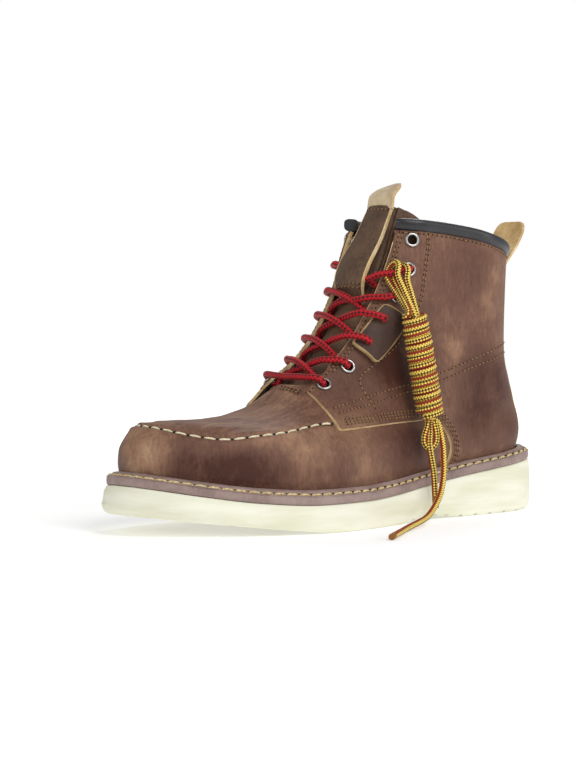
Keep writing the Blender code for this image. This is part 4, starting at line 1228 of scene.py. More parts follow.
def rope(name, path, diameter, strands, lay, skins, relief, sides=18, step=0.8, tips=(0, 0), spin=0.0):
    """Braided round cord along a path: the strands of both hands stand out of its surface and are counted
    in its UV map."""
    path = spaced(path, step)
    run = lengths(path)
    along = unit(np.gradient(path, axis=0))
    side = np.zeros_like(path)
    # Any direction that no cord starts along
    first = np.cross(along[0], (0.3, 0.2, 0.9))
    for k, t in enumerate(along):
        first = first - t * (first @ t)
        first = first / np.linalg.norm(first)
        side[k] = first
    up = np.cross(along, side)
    turn = np.arange(sides) / sides
    one = strands * turn[None] + run[:, None] * (spin + 1 / lay)
    two = strands * turn[None] + run[:, None] * (spin - 1 / lay)
    crown = np.sqrt(np.abs(np.sin(np.pi * one) * np.sin(np.pi * two)))
    radius = diameter / 2 * (1 - relief + 2 * relief * crown)
    angle = 2 * np.pi * turn[None, :, None]
    points = path[:, None] + radius[..., None] * (np.cos(angle) * side[:, None] + np.sin(angle) * up[:, None])
    rows = len(path)
    k = np.arange(sides)
    faces, uvs = [], []
    for r in range(rows - 1):
        a, b, nxt = r * sides + k, (r + 1) * sides + k, (k + 1) % sides
        faces.append(np.column_stack([a, r * sides + nxt, (r + 1) * sides + nxt, b]))
        corner = [(strands * (k + i) / sides, run[r + j]) for i, j in ((0, 0), (1, 0), (1, 1), (0, 1))]
        uvs.append(np.stack([np.column_stack([c + s * (spin + 1 / lay), c + s * (spin - 1 / lay)])
                             for c, s in corner], 1))
    faces = np.concatenate(faces).tolist()
    uvs = np.concatenate(uvs).reshape(-1, 2)
    faces += [list(range(sides))[::-1], list(range((rows - 1) * sides, rows * sides))]
    thing = new_piece(name, points.reshape(-1, 3), faces, skins, sharp=1.4)
    layer = thing.data.uv_layers.new(name="strands")
    flat = np.zeros((len(thing.data.loops), 2), np.float32)
    flat[: len(uvs)] = uvs
    layer.data.foreach_set("uv", flat.ravel())
    tip = np.maximum(run < tips[0], run > run[-1] - tips[1]).astype(float)
    paint_points(thing, "tip", np.repeat(tip, sides))
    return thing, path


# Camera, at the height of the ankle, level, off the outer side of the toe

# Focal length and place of the lens axis, in pixels of the picture
LENS_PX, AXIS_PX = 2210.0, (333.0, 302.0)
IMAGE_WIDE, IMAGE_HIGH = 576, 768
CAMERA_AT, CAMERA_ALONG = (0.8529, 0.9811, 0.1285), (-0.656, -0.755, 0.0)


def make_camera():
    data = bpy.data.cameras.new("camera")
    data.sensor_width = 36.0
    data.lens = LENS_PX / IMAGE_HIGH * data.sensor_width
    data.shift_x = (IMAGE_WIDE / 2 - AXIS_PX[0]) / IMAGE_HIGH
    data.shift_y = (AXIS_PX[1] - IMAGE_HIGH / 2) / IMAGE_HIGH
    camera = bpy.data.objects.new("camera", data)
    camera.location = CAMERA_AT
    camera.rotation_euler = Vector(CAMERA_ALONG).to_track_quat("-Z", "Y").to_euler()
    bpy.context.scene.collection.objects.link(camera)
    bpy.context.scene.camera = camera


# Spare lace

# Direction that its hank faces
HANK_FACES = (0.656, 0.755, 0.0)
# Strands inside the hank: distance from its axis, angles round it, levels
CORE, CORE_ANGLES = 2.15, (80, 200, 320)
CORE_LEVELS = np.linspace(0.06, 0.94, 7)
# Turns round them: slack, points in a turn, room between turns, first angle, taper over the first turns
TURN_SLACK, TURN_POINTS, TURN_ROOM, FIRST_ANGLE = 0.1, 16, 0.12, 2.2
TAPER_TURNS, TAPER = 4, 0.87
# Small loop under the hank: to the right of its foot, in front of it, below it
FOOT_LOOP = (
    (-2.2, 2.8, 2.0),
    (-5.2, 4.6, 7.4),
    (-6.4, 5.2, 12.4),
    (-3.6, 5.2, 16.0),
    (0.4, 4.8, 13.4),
    (1.6, 4.0, 8.0),
    (1.4, 2.6, 2.4),
)


def hank_frame():
    axis = unit(HANK_TOP - HANK_FOOT)
    right = unit(np.cross(axis, HANK_FACES))
    return axis, right, np.cross(right, axis)


def bight(across, start, end):
    """One bight over the red lace, from one strand of the hank's core and back to another."""
    up, aside, out = np.array(LOOP).T
    over = on_throat(up, across + aside, out)
    front = [start + (over[0] - start) * t for t in (0.3, 0.65)]
    back = [over[-1] + (end - over[-1]) * t for t in (0.35, 0.7)]
    return front + list(over) + back


def spare_route():
    """Short end, up through the hank, over the lace, down, a small loop, up and over again, then wound
    from the top down, and the long end."""
    axis, right, front = hank_frame()
    long = np.linalg.norm(HANK_TOP - HANK_FOOT)
    legs = [CORE * (np.cos(a) * right + np.sin(a) * front) for a in np.radians(CORE_ANGLES)]
    rise, fall, again = ([HANK_FOOT + axis * long * t + leg for t in CORE_LEVELS] for leg in legs)
    fall.reverse()
    foot_loop = [HANK_FOOT + right * x + front * y - axis * z for x, y, z in FOOT_LOOP]
    turns = np.linspace(0, HANK_TURNS, HANK_TURNS * TURN_POINTS + 1)
    pitch = SPARE_LACE + TURN_ROOM
    drop = (long - (HANK_TURNS * pitch + SPARE_LACE)) / 2 + SPARE_LACE / 2
    wind = HANK_RADIUS - SPARE_LACE / 2 + TURN_SLACK
    angle = 2 * np.pi * turns + FIRST_ANGLE
    taper = np.interp(turns, (0, TAPER_TURNS), (TAPER, 1))
    coil = [HANK_TOP - axis * (drop + pitch * t) + wind * f * (np.cos(a) * right + np.sin(a) * front)
            for t, f, a in zip(turns, taper, angle)]
    lead = HANK_TOP + axis * 1.5 + (coil[0] - HANK_TOP) * 0.7
    over = bight(LOOP_ACROSS[0], rise[-1], fall[0])
    over_again = bight(LOOP_ACROSS[1], again[-1], lead)
    hung = [*TAIL_SHORT[::-1], *rise, *over, *fall, *foot_loop, *again, *over_again]
    return np.array([*hung, lead, *coil, *TAIL_LONG])


def make_spare_lace():
    route = eased(smooth_path(spare_route(), 1600), 10)
    lace, path = rope("spare_lace", route, SPARE_LACE, 6, 1.5, [YELLOW_BRAID], relief=0, tips=(7, 7),
                      spin=0.006)
    finish_piece(lace, "yellow_lace", "spare_lace_hank", "spare_lace_loop", "spare_lace_tail_long",
                 "spare_lace_tail_short")


# Red lace


def lace_pass(side, start, end, high, lift, sag):
    """From inside one eyelet under its facing, across the tongue, and from outside into the next."""
    (u0, s0), (u1, s1) = start, end
    # Across from the middle, out from the form, share of the way up
    rows = (
        (s0 - 0.4, -2.6, 0.0),
        (s0 - 2.5, -4.4, 0.02),
        (s0 - 6.0, -4.9, 0.06),
        (19.5, -4.6, 0.14),
        (15.5, -3.3, 0.2),
        (8.0, (high - 3.0) / 2, 0.34),
        (0.0, high, 0.48),
        (-8.0, (high + 1.4) / 2, 0.62),
        (-15.0, 1.5 + lift * 0.3, 0.74),
        (-19.5, 2.5 + lift * 0.8, 0.82),
        (-(s1 - 6.4), 3.2 + lift, 0.9),
        (-(s1 - 3.6), 3.7 + lift, 0.95),
        (-(s1 - 1.2), 3.0 + lift, 0.985),
        (-(s1 - 0.5), 0.9 + lift * 0.5, 1.0),
        (-(s1 - 0.5), -1.2, 1.0),
    )
    s, out, t = np.array(rows).T
    low = sag * np.sin(np.pi * np.clip((t - 0.45) / 0.55, 0, 1))
    return on_throat(u0 + (u1 - u0) * t - low, side * s, out)


# Bar over the lowest eyelets: shares of its half width, heights over the form, droop, end in a hole
BAR_SHARES = np.array((0.0, 0.25, 0.5, 0.74, 0.88, 0.96, 1.0))
BAR_AT, BAR_HIGH = (0, 0.5, 0.74, 0.88, 0.96, 1), (0.9, 1.9, 3.0, 3.7, 2.6, 0.4)
BAR_DROOP, BAR_INSIDE = 3.2, 0.6
# Runs at a crossing: height of the upper and of the lower one over the form
CROSS_OVER, CROSS_UNDER = 0.7, -3.3
# Runs that end on the outer side, by number from the foot: lift over what lies there, slack
LIFTS = {1: 3.4, 2: 3.4, 4: 3.4}
SAGS = {3: 5.0, 4: 8.0}
# Ends inside the sixth pair of eyelets: short of it up and across the throat, depth
END_UP, END_ACROSS, END_DEEP = np.array((1, 4)), np.array((2, 7)), (-3.9, -4.9)


def make_red_lace():
    """One lace: a bar over the lowest pair of eyelets, then crossing up to the sixth pair."""
    u, s = EYELETS[0]
    t = np.concatenate([-BAR_SHARES[:0:-1], BAR_SHARES])
    out = np.interp(np.abs(t), BAR_AT, BAR_HIGH)
    bar = on_throat(u - BAR_DROOP * (1 - t * t), (s - BAR_INSIDE) * t, out)
    halves = []
    for side in (1, -1):
        half, here = [], side
        for i in range(5):
            high = CROSS_OVER if here > 0 else CROSS_UNDER
            lift, sag = (LIFTS.get(i, 0.0), SAGS.get(i, 0.0)) if here < 0 else (0.0, 0.0)
            half.append(lace_pass(here, EYELETS[i], EYELETS[i + 1], high, lift, sag))
            here = -here
        last_u, last_s = EYELETS[5]
        half.append(on_throat(last_u - END_UP, here * (last_s - END_ACROSS), END_DEEP))
        halves.append(np.vstack(half))
    route = np.vstack([halves[1][::-1], bar, halves[0]])
    lace, _ = rope("red_lace", smooth_path(route, 1200), LACE, 6, 2.4, [RED_BRAID], relief=0.06)
    finish_piece(lace, "red_lace", "lace_bar", *[f"lace_cross_{i}" for i in range(1, 6)])


# Upper


GRID = fine_grid()
SHAPE = GRID.shape
OUT = normals_at(GRID.reshape(-1, 3)).reshape(SHAPE)
EYELET_SPOTS = np.vstack([on_throat(u, side * s) for side in (1, -1) for u, s in EYELETS])
SEAM = settle(smooth_path(settle(TOE_SEAM, rounds=10), 220), rounds=4)

# Front edge of the inner quarter, further to the toe than the outer one
INNER_FORWARD = (9.0, 8.0, 5.5, 2.0)
# Outline of a quarter behind its front edge, from the side: x, z
QUARTER_BACK = ((-58, 10), (-170, 10), (-170, 200), (60, 200), (40, 82))
# Its distance from the boot's middle: in front of the throat, up the throat, and at the heel
QUARTER_FRONT, QUARTER_THROAT, QUARTER_HEEL = 18.9, 3.0, -0.01
FRONT_X, HEEL_X = 20, -60
# Inner quarter, further from the middle towards the toe: x, distance
INNER_X, INNER_ACROSS = (34, 48), (QUARTER_FRONT, 29.0)
# Points at a cut edge: reach to it, longest slide in a round, least squared slope
EDGE_REACH, SLIDE, SLIDE_SLOPE = 4, 3, 0.2


def quarter_edge(side):
    line = np.array(QUARTER_EDGE)
    if side < 0:
        line[: len(INNER_FORWARD), 0] += INNER_FORWARD
    line = smooth_path(line, 110) * (1, side, 1)
    return settle(line, along=(0.2, 1, 0.2), rounds=10)


def inside_outline(x, z, outline):
    """Whether points lie inside a closed outline."""
    hit = np.zeros(len(x), bool)
    for (x0, z0), (x1, z1) in zip(outline, np.roll(outline, -1, 0)):
        crosses = (z0 > z) != (z1 > z)
        at = x0 + (z - z0) / np.where(z1 == z0, 1e-9, z1 - z0) * (x1 - x0)
        hit ^= crosses & (x < at)
    return hit


def hole_room(p):
    """Distance outside the nearest eyelet hole."""
    return np.linalg.norm(p[:, None] - EYELET_SPOTS[None], axis=2).min(1) - EYELET_HOLE


def quarter_room(p, side, edge):
    """Distance inside the quarter of one side, below 0 outside it."""
    outline = np.vstack([edge[:, (0, 2)], QUARTER_BACK])
    near, _, _ = line_distance(p, edge)
    room = np.where(inside_outline(p[:, 0], p[:, 2], outline), near, -near)
    front = QUARTER_FRONT if side > 0 else np.interp(p[:, 0], INNER_X, INNER_ACROSS)
    places = [p[:, 0] > FRONT_X, p[:, 0] < HEEL_X]
    middle = np.select(places, [front, QUARTER_HEEL], QUARTER_THROAT)
    return np.minimum(np.minimum(room, side * p[:, 1] - middle), hole_room(p))


def snap(p, room, level):
    """Slide points along the leather until they have a given room."""
    steps = np.eye(3) * 0.25
    for _ in range(4):
        gradient = np.column_stack([room(p + s) - room(p - s) for s in steps]) / 0.5
        out = normals_at(p)
        gradient = gradient - out * (gradient * out).sum(1)[:, None]
        size = np.maximum((gradient**2).sum(1), SLIDE_SLOPE)
        p = p - (np.clip(room(p) - level, -SLIDE, SLIDE) / size)[:, None] * gradient
        p = settle(p, rounds=1)
    return p


def trimmed(room, faces_room):
    """Grids for the top and the bottom of a cut edge, and the cells kept inside it."""
    cell = (faces_room[:-1] + faces_room[1:]) / 2
    cell = (cell + np.roll(cell, -1, 1)) / 2
    keep = cell > 0
    corner = np.zeros(SHAPE[:2], int)
    for dr in (0, 1):
        for dc in (0, 1):
            corner[dr : SHAPE[0] - 1 + dr] += np.roll(keep, dc, 1)
    full = np.full(SHAPE[0], 4)
    full[[0, -1]] = 2
    edge = (corner > 0) & (corner < full[:, None]) & (np.abs(faces_room) < EDGE_REACH)
    top, bottom = GRID.copy(), GRID.copy()
    top[edge] = snap(GRID[edge], room, RAW_EDGE)
    bottom[edge] = snap(GRID[edge], room, 0.0)
    top[-1] += unit(GRID[-2] - GRID[-1]) * EDGE_ROUND
    return top, bottom, keep


# Soft dents worn or lasted into the leather: x, y, z of its ends and middle, width, depth
DENTS = (
    (((126, 12, 60), (108, 26, 58), (84, 32, 60)), 3.2, 0.8),
    (((120, 10, 61), (100, 21, 61), (70, 29, 63)), 3.6, 0.75),
    (((112, 4, 62), (88, 16, 63), (58, 26, 67)), 4.5, 0.6),
    (((60, 33, 63), (54, 30, 66), (50, 25, 70)), 2.0, 0.35),
    (((54, 35, 62), (48, 31, 67), (45, 25, 72)), 1.8, 0.4),
    (((48, 36, 62), (43, 32, 68), (41, 24, 75)), 1.8, 0.35),
    (((26, 50, 50), (20, 47, 42), (18, 50, 34)), 3.0, 0.45),
    (((8, 45, 52), (2, 45, 42), (2, 46, 32)), 3.4, 0.45),
    (((-10, 40, 52), (-16, 40, 44), (-22, 41, 34)), 3.4, 0.5),
    (((-30, 35, 52), (-38, 34, 42), (-44, 36, 32)), 4.0, 0.6),
    (((-46, 31, 100), (-36, 30, 92), (-18, 30, 88)), 5.0, 0.7),
    (((-60, 32, 118), (-48, 31, 106), (-26, 30, 98)), 6.0, 0.7),
    (((-70, 34, 142), (-60, 33, 128), (-40, 31, 116)), 7.0, 0.6),
    (((-110, 33, 120), (-92, 34, 112), (-72, 33, 108)), 6.0, 0.5),
)
# Tones of the leather, partly worn pull-up patches and partly painted highlight and shade, such as the light
# band under the toe seam and the dark band low on its wall: x, y, z, radius, amount, darker below 0
TONES = (
    (143, 2, 46, 14, 0.6),
    (135, 15, 53, 9, 0.4),
    (138, 10, 36, 7, 0.35),
    (118, 30, 53, 8, 0.35),
    (104, 37, 52, 8, 0.4),
    (88, 42, 51, 8, 0.4),
    (72, 45, 53, 10, 0.35),
    (126, 23, 38, 11, -0.85),
    (112, 36, 38, 13, -0.9),
    (98, 41, 38, 13, -0.7),
    (82, 44, 36, 14, -0.6),
    (58, 48, 47, 20, 0.4),
    (40, 50, 40, 16, -0.35),
    (20, 50, 44, 15, 0.25),
    (0, 46, 46, 16, -0.25),
    (-26, 40, 46, 14, -0.75),
    (-48, 34, 46, 12, 0.1),
    (70, 10, 66, 22, 0.1),
    (44, 10, 76, 12, 0.35),
    (24, 30, 76, 13, -0.25),
    (8, 32, 87, 16, -0.45),
    (-20, 30, 92, 14, -0.9),
    (-40, 32, 84, 14, -0.7),
    (-34, 30, 112, 14, -0.35),
    (-70, 33, 101, 9, 0.4),
    (-98, 32, 143, 7, 0.4),
    (-94, 33, 130, 7, 0.35),
    (-62, 33, 119, 6, 0.3),
    (-84, 34, 124, 16, -0.1),
    (-60, 33, 140, 18, -0.25),
    (-40, 24, 158, 14, -0.1),
    (-84, 35, 152, 18, -0.1),
    (-92, 31, 90, 16, -0.3),
    (-98, 30, 72, 26, -0.35),
    (-112, 26, 78, 16, -0.35),
    (-84, 32, 58, 14, -0.45),
    (-120, 24, 52, 14, -0.35),
)
# Beside the line of a dent: share of its length over which it fades, height and width of its low ridges
DENT_FADE, DENT_RIDGE, DENT_SPREAD = 0.25, 0.42, 5
# Toe seam across its line, from the wall to the plug: height, middle, width of lip, crease, plug, dip
LIP, LIP_AT, LIP_WIDE = 0.75, -2.6, 2.2
CREASE, CREASE_WIDE = -1.0, 1.1
PLUG, PLUG_PUCKER, PLUG_AT, PLUG_WIDE = 0.15, 0.35, 2.6, 1.8
DIP, DIP_AT, DIP_WIDE = 0.4, 7, 3.0
SEAM_ENDS = 0.02
PLUG_MIDDLE = (60, -5)
# Hollow of the plug beside the inner quarter: its line, width, depth
HOLLOW_LINE = np.array(((46.0, -31.0, 69.0), (39.0, -22.0, 76.0), (31.0, -13.0, 83.0)))
HOLLOW_WIDE, HOLLOW = 8.0, 6.0
# Softened edge round the toe: depth, width, x where it starts, length of its start
SOFT, SOFT_WIDE, SOFT_X, SOFT_LONG = 0.9, 8.5, 100, 28
# Drawn streaks, coloured with painted sheen and shade along their relief: rise over the toe seam, x where
# they start, length of their start
DRAWN_RISE, DRAWN_X, DRAWN_LONG = 4, 30, 10
# Share of a facing's ribs with a bare cut edge
FACING_RIBS = 0.61
# Vamp under a quarter, beside its edge, and distance over which it comes up; room of the lining
VAMP_UNDER, VAMP_BESIDE, VAMP_FADE = QUARTER_THICK + 0.15, QUARTER_THICK - 0.05, 15
LINING_ROOM = 0.05
# Lowest and highest relief of a quarter
QUARTER_RELIEF = (-0.9, 0.6)


def tone_of(p):
    """Lightness of the leather at points, partly from wear and partly painted highlight and shade; the hidden
    side has the same.
    """
    tone = np.zeros(len(p))
    q = p.copy()
    q[:, 1] = np.abs(q[:, 1])
    for x, y, z, radius, amount in TONES:
        tone += amount * np.exp(-(((q - (x, y, z)) / radius) ** 2).sum(1))
    return np.clip(tone, -1, 1)


def dented(p):
    """Relief of the dents on both sides: a trough with a low ridge on each side of it."""
    relief = np.zeros(len(p))
    for side in (1, -1):
        for route, width, depth in DENTS:
            line = settle(smooth_path(np.array(route) * (1, side, 1), 14), rounds=6)
            near = np.linalg.norm(p - line[7], axis=1) < lengths(line)[-1]
            d, _, share = line_distance(p[near], line)
            fade = ease(share / DENT_FADE) * ease((1 - share) / DENT_FADE)
            w = (d / width) ** 2
            relief[near] -= depth * fade * (np.exp(-w) - DENT_RIDGE * np.exp(-w / DENT_SPREAD))
    return relief


def seam_relief(p):
    """Toe seam: the wall's lip stands up beside a crease, and the plug puckers at every stitch."""
    d, spot, share = line_distance(p, SEAM)
    inner = (p[:, 2] - spot[:, 2]) * 0.6 - ((p - spot)[:, :2] * unit(spot[:, :2] - PLUG_MIDDLE)).sum(1)
    d = np.where(inner > 0, d, -d)
    along = share * lengths(SEAM)[-1]
    pucker = 0.5 - 0.5 * np.cos(2 * np.pi * along / MOC_PITCH)
    fade = ease(share / SEAM_ENDS) * ease((1 - share) / SEAM_ENDS)
    lip = LIP * bell(d, LIP_AT, LIP_WIDE)
    crease = CREASE * bell(d, 0, CREASE_WIDE)
    plug = (PLUG + PLUG_PUCKER * pucker) * bell(d, PLUG_AT, PLUG_WIDE) - DIP * bell(d, DIP_AT, DIP_WIDE)
    return (lip + crease + plug) * fade


def hollow_of(p):
    """Sinking of the plug and tongue beside the inner quarter."""
    return HOLLOW * bell(line_distance(p, HOLLOW_LINE)[0], 0, HOLLOW_WIDE)


def toe_round(p):
    """Softening of the form's edge round the toe."""
    near = line_distance(p, SEAM)[0]
    return -SOFT * ease((p[:, 0] - SOFT_X) / SOFT_LONG) * bell(near, 0, SOFT_WIDE)


def drawn_of(thing):
    """Share of drawn streaks, with their painted sheen and shade, at the points of a piece: full on top of
    the foot, none on its walls.
    """
    p = np.zeros(len(thing.data.vertices) * 3, np.float32)
    thing.data.vertices.foreach_get("co", p)
    p = p.reshape(-1, 3) / MM
    rise = p[:, 2] - line_distance(p, SEAM)[1][:, 2]
    return ease(rise / DRAWN_RISE) * ease((p[:, 0] - DRAWN_X) / DRAWN_LONG)


def facing_cells():
    """Cells of the narrow row along the cut edges of both facings."""
    bare = np.zeros((SHAPE[0] - 1, SHAPE[1]), bool)
    rib = np.arange(SHAPE[1]) / RIB_FINE
    bare[-1] = np.minimum(rib, 2 * HALF_RIBS - rib) < FACING_RIBS * HALF_RIBS
    return bare


def rim_cells(shape, rows=True):
    """Cells along the side edges of a plain sheet, and along its ends."""
    bare = np.zeros((shape[0] - 1, shape[1] - 1), bool)
    bare[:, [0, -1]] = True
    if rows:
        bare[[0, -1]] = True
    return bare


def edged(low, high, count, rim):
    """Even steps with a narrow one at each end."""
    return np.concatenate([[low], np.linspace(low + rim, high - rim, count), [high]])


def make_upper():
    """Vamp, plug and lining in one shell, with a quarter laid on each side of it."""
    flat = GRID.reshape(-1, 3)
    tone = tone_of(flat).reshape(SHAPE[:2])
    edges = {side: quarter_edge(side) for side in (1, -1)}
    room = {side: quarter_room(flat, side, edges[side]).reshape(SHAPE[:2]) for side in (1, -1)}
    worn = dented(flat).reshape(SHAPE[:2])
    under = np.maximum(room[1], room[-1])
    step = np.where(under > 0, -VAMP_UNDER, -VAMP_BESIDE * (1 - ease(-under / VAMP_FADE)))
    rounding = (toe_round(flat) - hollow_of(flat)).reshape(SHAPE[:2])
    relief = step + seam_relief(flat).reshape(SHAPE[:2]) + worn + rounding
    skins = [LEATHER, RAW, FLESH]
    top, bottom, keep = trimmed(hole_room, hole_room(flat).reshape(SHAPE[:2]))
    outside = top + OUT * relief[..., None]
    lining = bottom + OUT * (rounding - WALL - LINING_ROOM)[..., None]
    shell = closed_sheet("vamp_and_lining", outside, lining, skins, keep, wrap=True, tone=tone)
    paint_points(shell, "drawn", drawn_of(shell))
    finish_piece(shell, "oiled_leather", "upper")
    lift = np.clip(worn, *QUARTER_RELIEF)[..., None]
    for side, name in ((1, "quarter_outer"), (-1, "quarter_inner")):

        def side_room(p):
            return quarter_room(p, side, edges[side])

        top, bottom, keep = trimmed(side_room, room[side])
        outside, flesh = top + OUT * lift, bottom + OUT * (lift - QUARTER_THICK)
        piece = closed_sheet(name, outside, flesh, skins, keep, wrap=True, tone=tone, bare=facing_cells())
        finish_piece(piece, "oiled_leather")
    return edges


# Other pieces of the upper

# Back strip: foot, top, half width, outer and inner side over the form, x from which it settles
STRIP_LOW, STRIP_HIGH, STRIP_HALF = 38.5, 149, 13
STRIP_OUT, STRIP_IN = 1.7, 0.25
BEHIND = -136.0
# Heel pull: levels; heights between which its curl ends and its edges come forward, and how far
PULL_LEVELS = np.concatenate([np.linspace(138, 177.6, 40), np.linspace(178.1, 179.2, 4)])
CURL_ENDS, FLARE_STARTS, FLARE = (145, 160), (150, 175), 0.7
# Tongue: ends up the throat, half widths along it, where its rounded top starts
TONGUE_LOW, TONGUE_HIGH, TONGUE_TOP = -8, 148, 140
TONGUE_AT, TONGUE_HALF = (-8, 20, 90, 140, 148), (20, 27, 35, 38, 34)
# Tongue below the form: under the plug, in the throat, swell of its middle
TONGUE_UNDER, TONGUE_DEEP, TONGUE_SWELL, SWELL_WIDE = WALL + 0.8, 7.5, 1.7, 16
# Folds along each side of the tongue: height, distance from its middle, width
FOLDS = ((1.3, 15.6, 1.5), (-1.0, 12.6, 1.2), (-0.9, 18.8, 1.3))
# Foot of the pull up the throat, bow across strap and pull
PULL_FOOT, BOW = 147.4, 0.5
# Patch: outer face over the form, middle up and across the throat, corner rounding, curl of its edges
PATCH_OUT = EYELET_TOP + 0.9 + PATCH_THICK
PATCH_MIDDLE, PATCH_ACROSS = 71.8, 33
PATCH_CORNER, PATCH_CURL = 1.6, 0.6
# Collar roll: half width, half height, rise over the leather, place inside its outer face
ROLL_HALF_WIDE, ROLL_HALF_HIGH, ROLL_RISE, ROLL_IN = 3.5, 3.7, 3.3, WALL / 2 + 0.6
# Its end past the inner facing corner: steps, direction
ROLL_STEPS, ROLL_ONWARD = (2.1, 1.4, 0.7), (0.85, -0.5, 0.1)


def make_back_strip():
    """Strip over the seam at the middle of the back."""
    levels, across = np.linspace(STRIP_LOW, STRIP_HIGH, 64), np.linspace(-STRIP_HALF, STRIP_HALF, 19)
    z, y = np.meshgrid(levels, across, indexing="ij")
    grid = np.column_stack([np.full(z.size, BEHIND), y.ravel(), z.ravel()])
    grid = settle(grid, over=STRIP_OUT, along=(1, 0, 0), rounds=14).reshape(*z.shape, 3)
    inner = settle(grid.reshape(-1, 3), over=STRIP_IN, along=(1, 0, 0), rounds=8).reshape(grid.shape)
    inner[:, 0] += (0, -RAW_EDGE, 0)
    inner[:, -1] += (0, RAW_EDGE, 0)
    tone = tone_of(grid.reshape(-1, 3)).reshape(z.shape)
    finish_piece(closed_sheet("back_strip", grid, inner, [LEATHER, RAW, FLESH], tone=tone), "oiled_leather")


def make_heel_pull():
    """Suede flap at the middle of the back, flaring out above the collar."""
    z = PULL_LEVELS
    part = np.linspace(-1, 1, 17)
    heights = [(row[1], row[0], row[2]) for row in HEEL_PULL]
    rows = []
    for x, height, half in zip(column(heights, 1, z), z, column(heights, 2, z)):
        row = np.column_stack([np.full(17, x), part * half, np.full(17, height)])
        curl = settle(row, along=(1, 0, 0))[:, 0] - settle(row[8:9], along=(1, 0, 0))[0, 0]
        row[:, 0] += curl * np.interp(height, CURL_ENDS, (1, 0)) - STRAP_THICK
        row[:, 0] += FLARE * np.interp(height, FLARE_STARTS, (0, 1)) * part**2 * half / 10
        rows.append(row)
    grid = np.array(rows)
    pull = closed_sheet("heel_pull", grid, grid + (STRAP_THICK, 0, 0), [SUEDE, RAW, SUEDE])
    finish_piece(pull, "tan_suede", "heel_pull_tab")


def tongue_depth(up, across):
    """Outside of the tongue below the form: under the plug, then low enough for the lace."""
    foot = ease((up - THROAT_FOOT + 6) / 13)
    side = np.abs(across)
    fold = sum(height * bell(side, middle, width) for height, middle, width in FOLDS) * ease((up - 66) / 36)
    swell = TONGUE_SWELL * bell(across, 0, SWELL_WIDE)
    return -TONGUE_UNDER * (1 - foot) + (fold - TONGUE_DEEP + swell) * foot


def make_tongue():
    up, part = np.meshgrid(np.linspace(TONGUE_LOW, TONGUE_HIGH, 110), np.linspace(-1, 1, 91), indexing="ij")
    half = np.interp(up, TONGUE_AT, TONGUE_HALF)
    up = up - np.where(up > TONGUE_TOP, (up - TONGUE_TOP) * 0.5 * np.abs(part) ** 3, 0)
    across = part * half
    base = on_throat(up.ravel(), across.ravel())
    sunk = tongue_depth(up, across).ravel() - hollow_of(base)
    grid = (base + normals_at(base) * sunk[:, None]).reshape(*up.shape, 3)
    inner = backed(grid, TONGUE_THICK)
    if ((inner - grid)[50, 45] @ normals_at(grid[50, 45:46])[0]) > 0:
        inner = 2 * grid - inner
    finish_piece(closed_sheet("tongue", grid, inner, [TONGUE_SKIN, RAW, FLESH]), "tongue_leather", "tongue")


def make_strap():
    """Keeper strap sewn to the tongue at both ends, with a suede pull leaning back from its top."""
    levels = np.linspace(STRAP[0][0], STRAP[-1][0], 66)
    up, part = np.meshgrid(levels, edged(-1, 1, 19, 0.07), indexing="ij")
    out = column(STRAP, 1, up)
    sag = -BOW * part**2
    grid = on_throat(up.ravel(), (part * STRAP_HALF).ravel(), (out + sag).ravel()).reshape(*up.shape, 3)
    inner = on_throat(up.ravel(), (part * (STRAP_HALF + 0.4)).ravel(), (out + sag - STRAP_THICK).ravel())
    strap = closed_sheet("tongue_strap_piece", grid, inner.reshape(grid.shape), [STRAP_SKIN, RAW, FLESH],
                         bare=rim_cells(up.shape, rows=False))
    finish_piece(strap, "tongue_leather", "tongue_strap")
    foot = on_throat(PULL_FOOT, 0.0, STRAP[-1][1])[0]
    t = np.linspace(0, len(TONGUE_PULL) - 1, 34)
    knots = np.column_stack([np.arange(len(TONGUE_PULL)), np.array(TONGUE_PULL)])
    rows = []
    for place in t:
        back, aside, rise, half = (float(column(knots, i, np.array([place]))[0]) for i in (1, 2, 3, 4))
        rows.append([foot + (-back - BOW * p * p, aside + p * half, rise) for p in np.linspace(-1, 1, 15)])
    grid = np.array(rows)
    inner = backed(grid, STRAP_THICK)
    if (inner - grid)[2, 7, 0] > 0:
        inner = 2 * grid - inner
    pull = closed_sheet("tongue_pull", grid, inner, [PALE_SUEDE, RAW, PALE_SUEDE])
    finish_piece(pull, "tan_suede", "tongue_pull_tab")


def make_patch():
    """Bare leather patch held by the lace at two eyelets."""
    levels = edged(PATCH[0][0], PATCH[-1][0], 36, 0.7)
    up, part = np.meshgrid(levels, edged(0, 1, 25, 0.04), indexing="ij")
    front, back = column(PATCH, 1, up), column(PATCH, 2, up)
    across = front + (back - front) * part
    corner = PATCH_CORNER * (np.abs(2 * part - 1) ** 6)
    ends = ease((np.abs(up - PATCH_MIDDLE) - 10) / 5.7)
    up_in = up + np.where(up < PATCH_MIDDLE, corner, -corner) * ends
    curl = PATCH_CURL * np.abs(2 * part - 1) ** 3
    grid = on_throat(up_in.ravel(), across.ravel(), (PATCH_OUT - curl).ravel()).reshape(*up.shape, 3)
    inner_up = PATCH_MIDDLE + (up_in - PATCH_MIDDLE) * 1.02
    inner_across = PATCH_ACROSS + (across - PATCH_ACROSS) * 1.04
    inner = on_throat(inner_up.ravel(), inner_across.ravel(), (PATCH_OUT - curl - PATCH_THICK).ravel())
    patch = closed_sheet("lace_patch_piece", grid, inner.reshape(grid.shape), [PATCH_SKIN, DARK_RAW, FLESH],
                         bare=rim_cells(up.shape))
    finish_piece(patch, "patch_leather", "lace_patch")


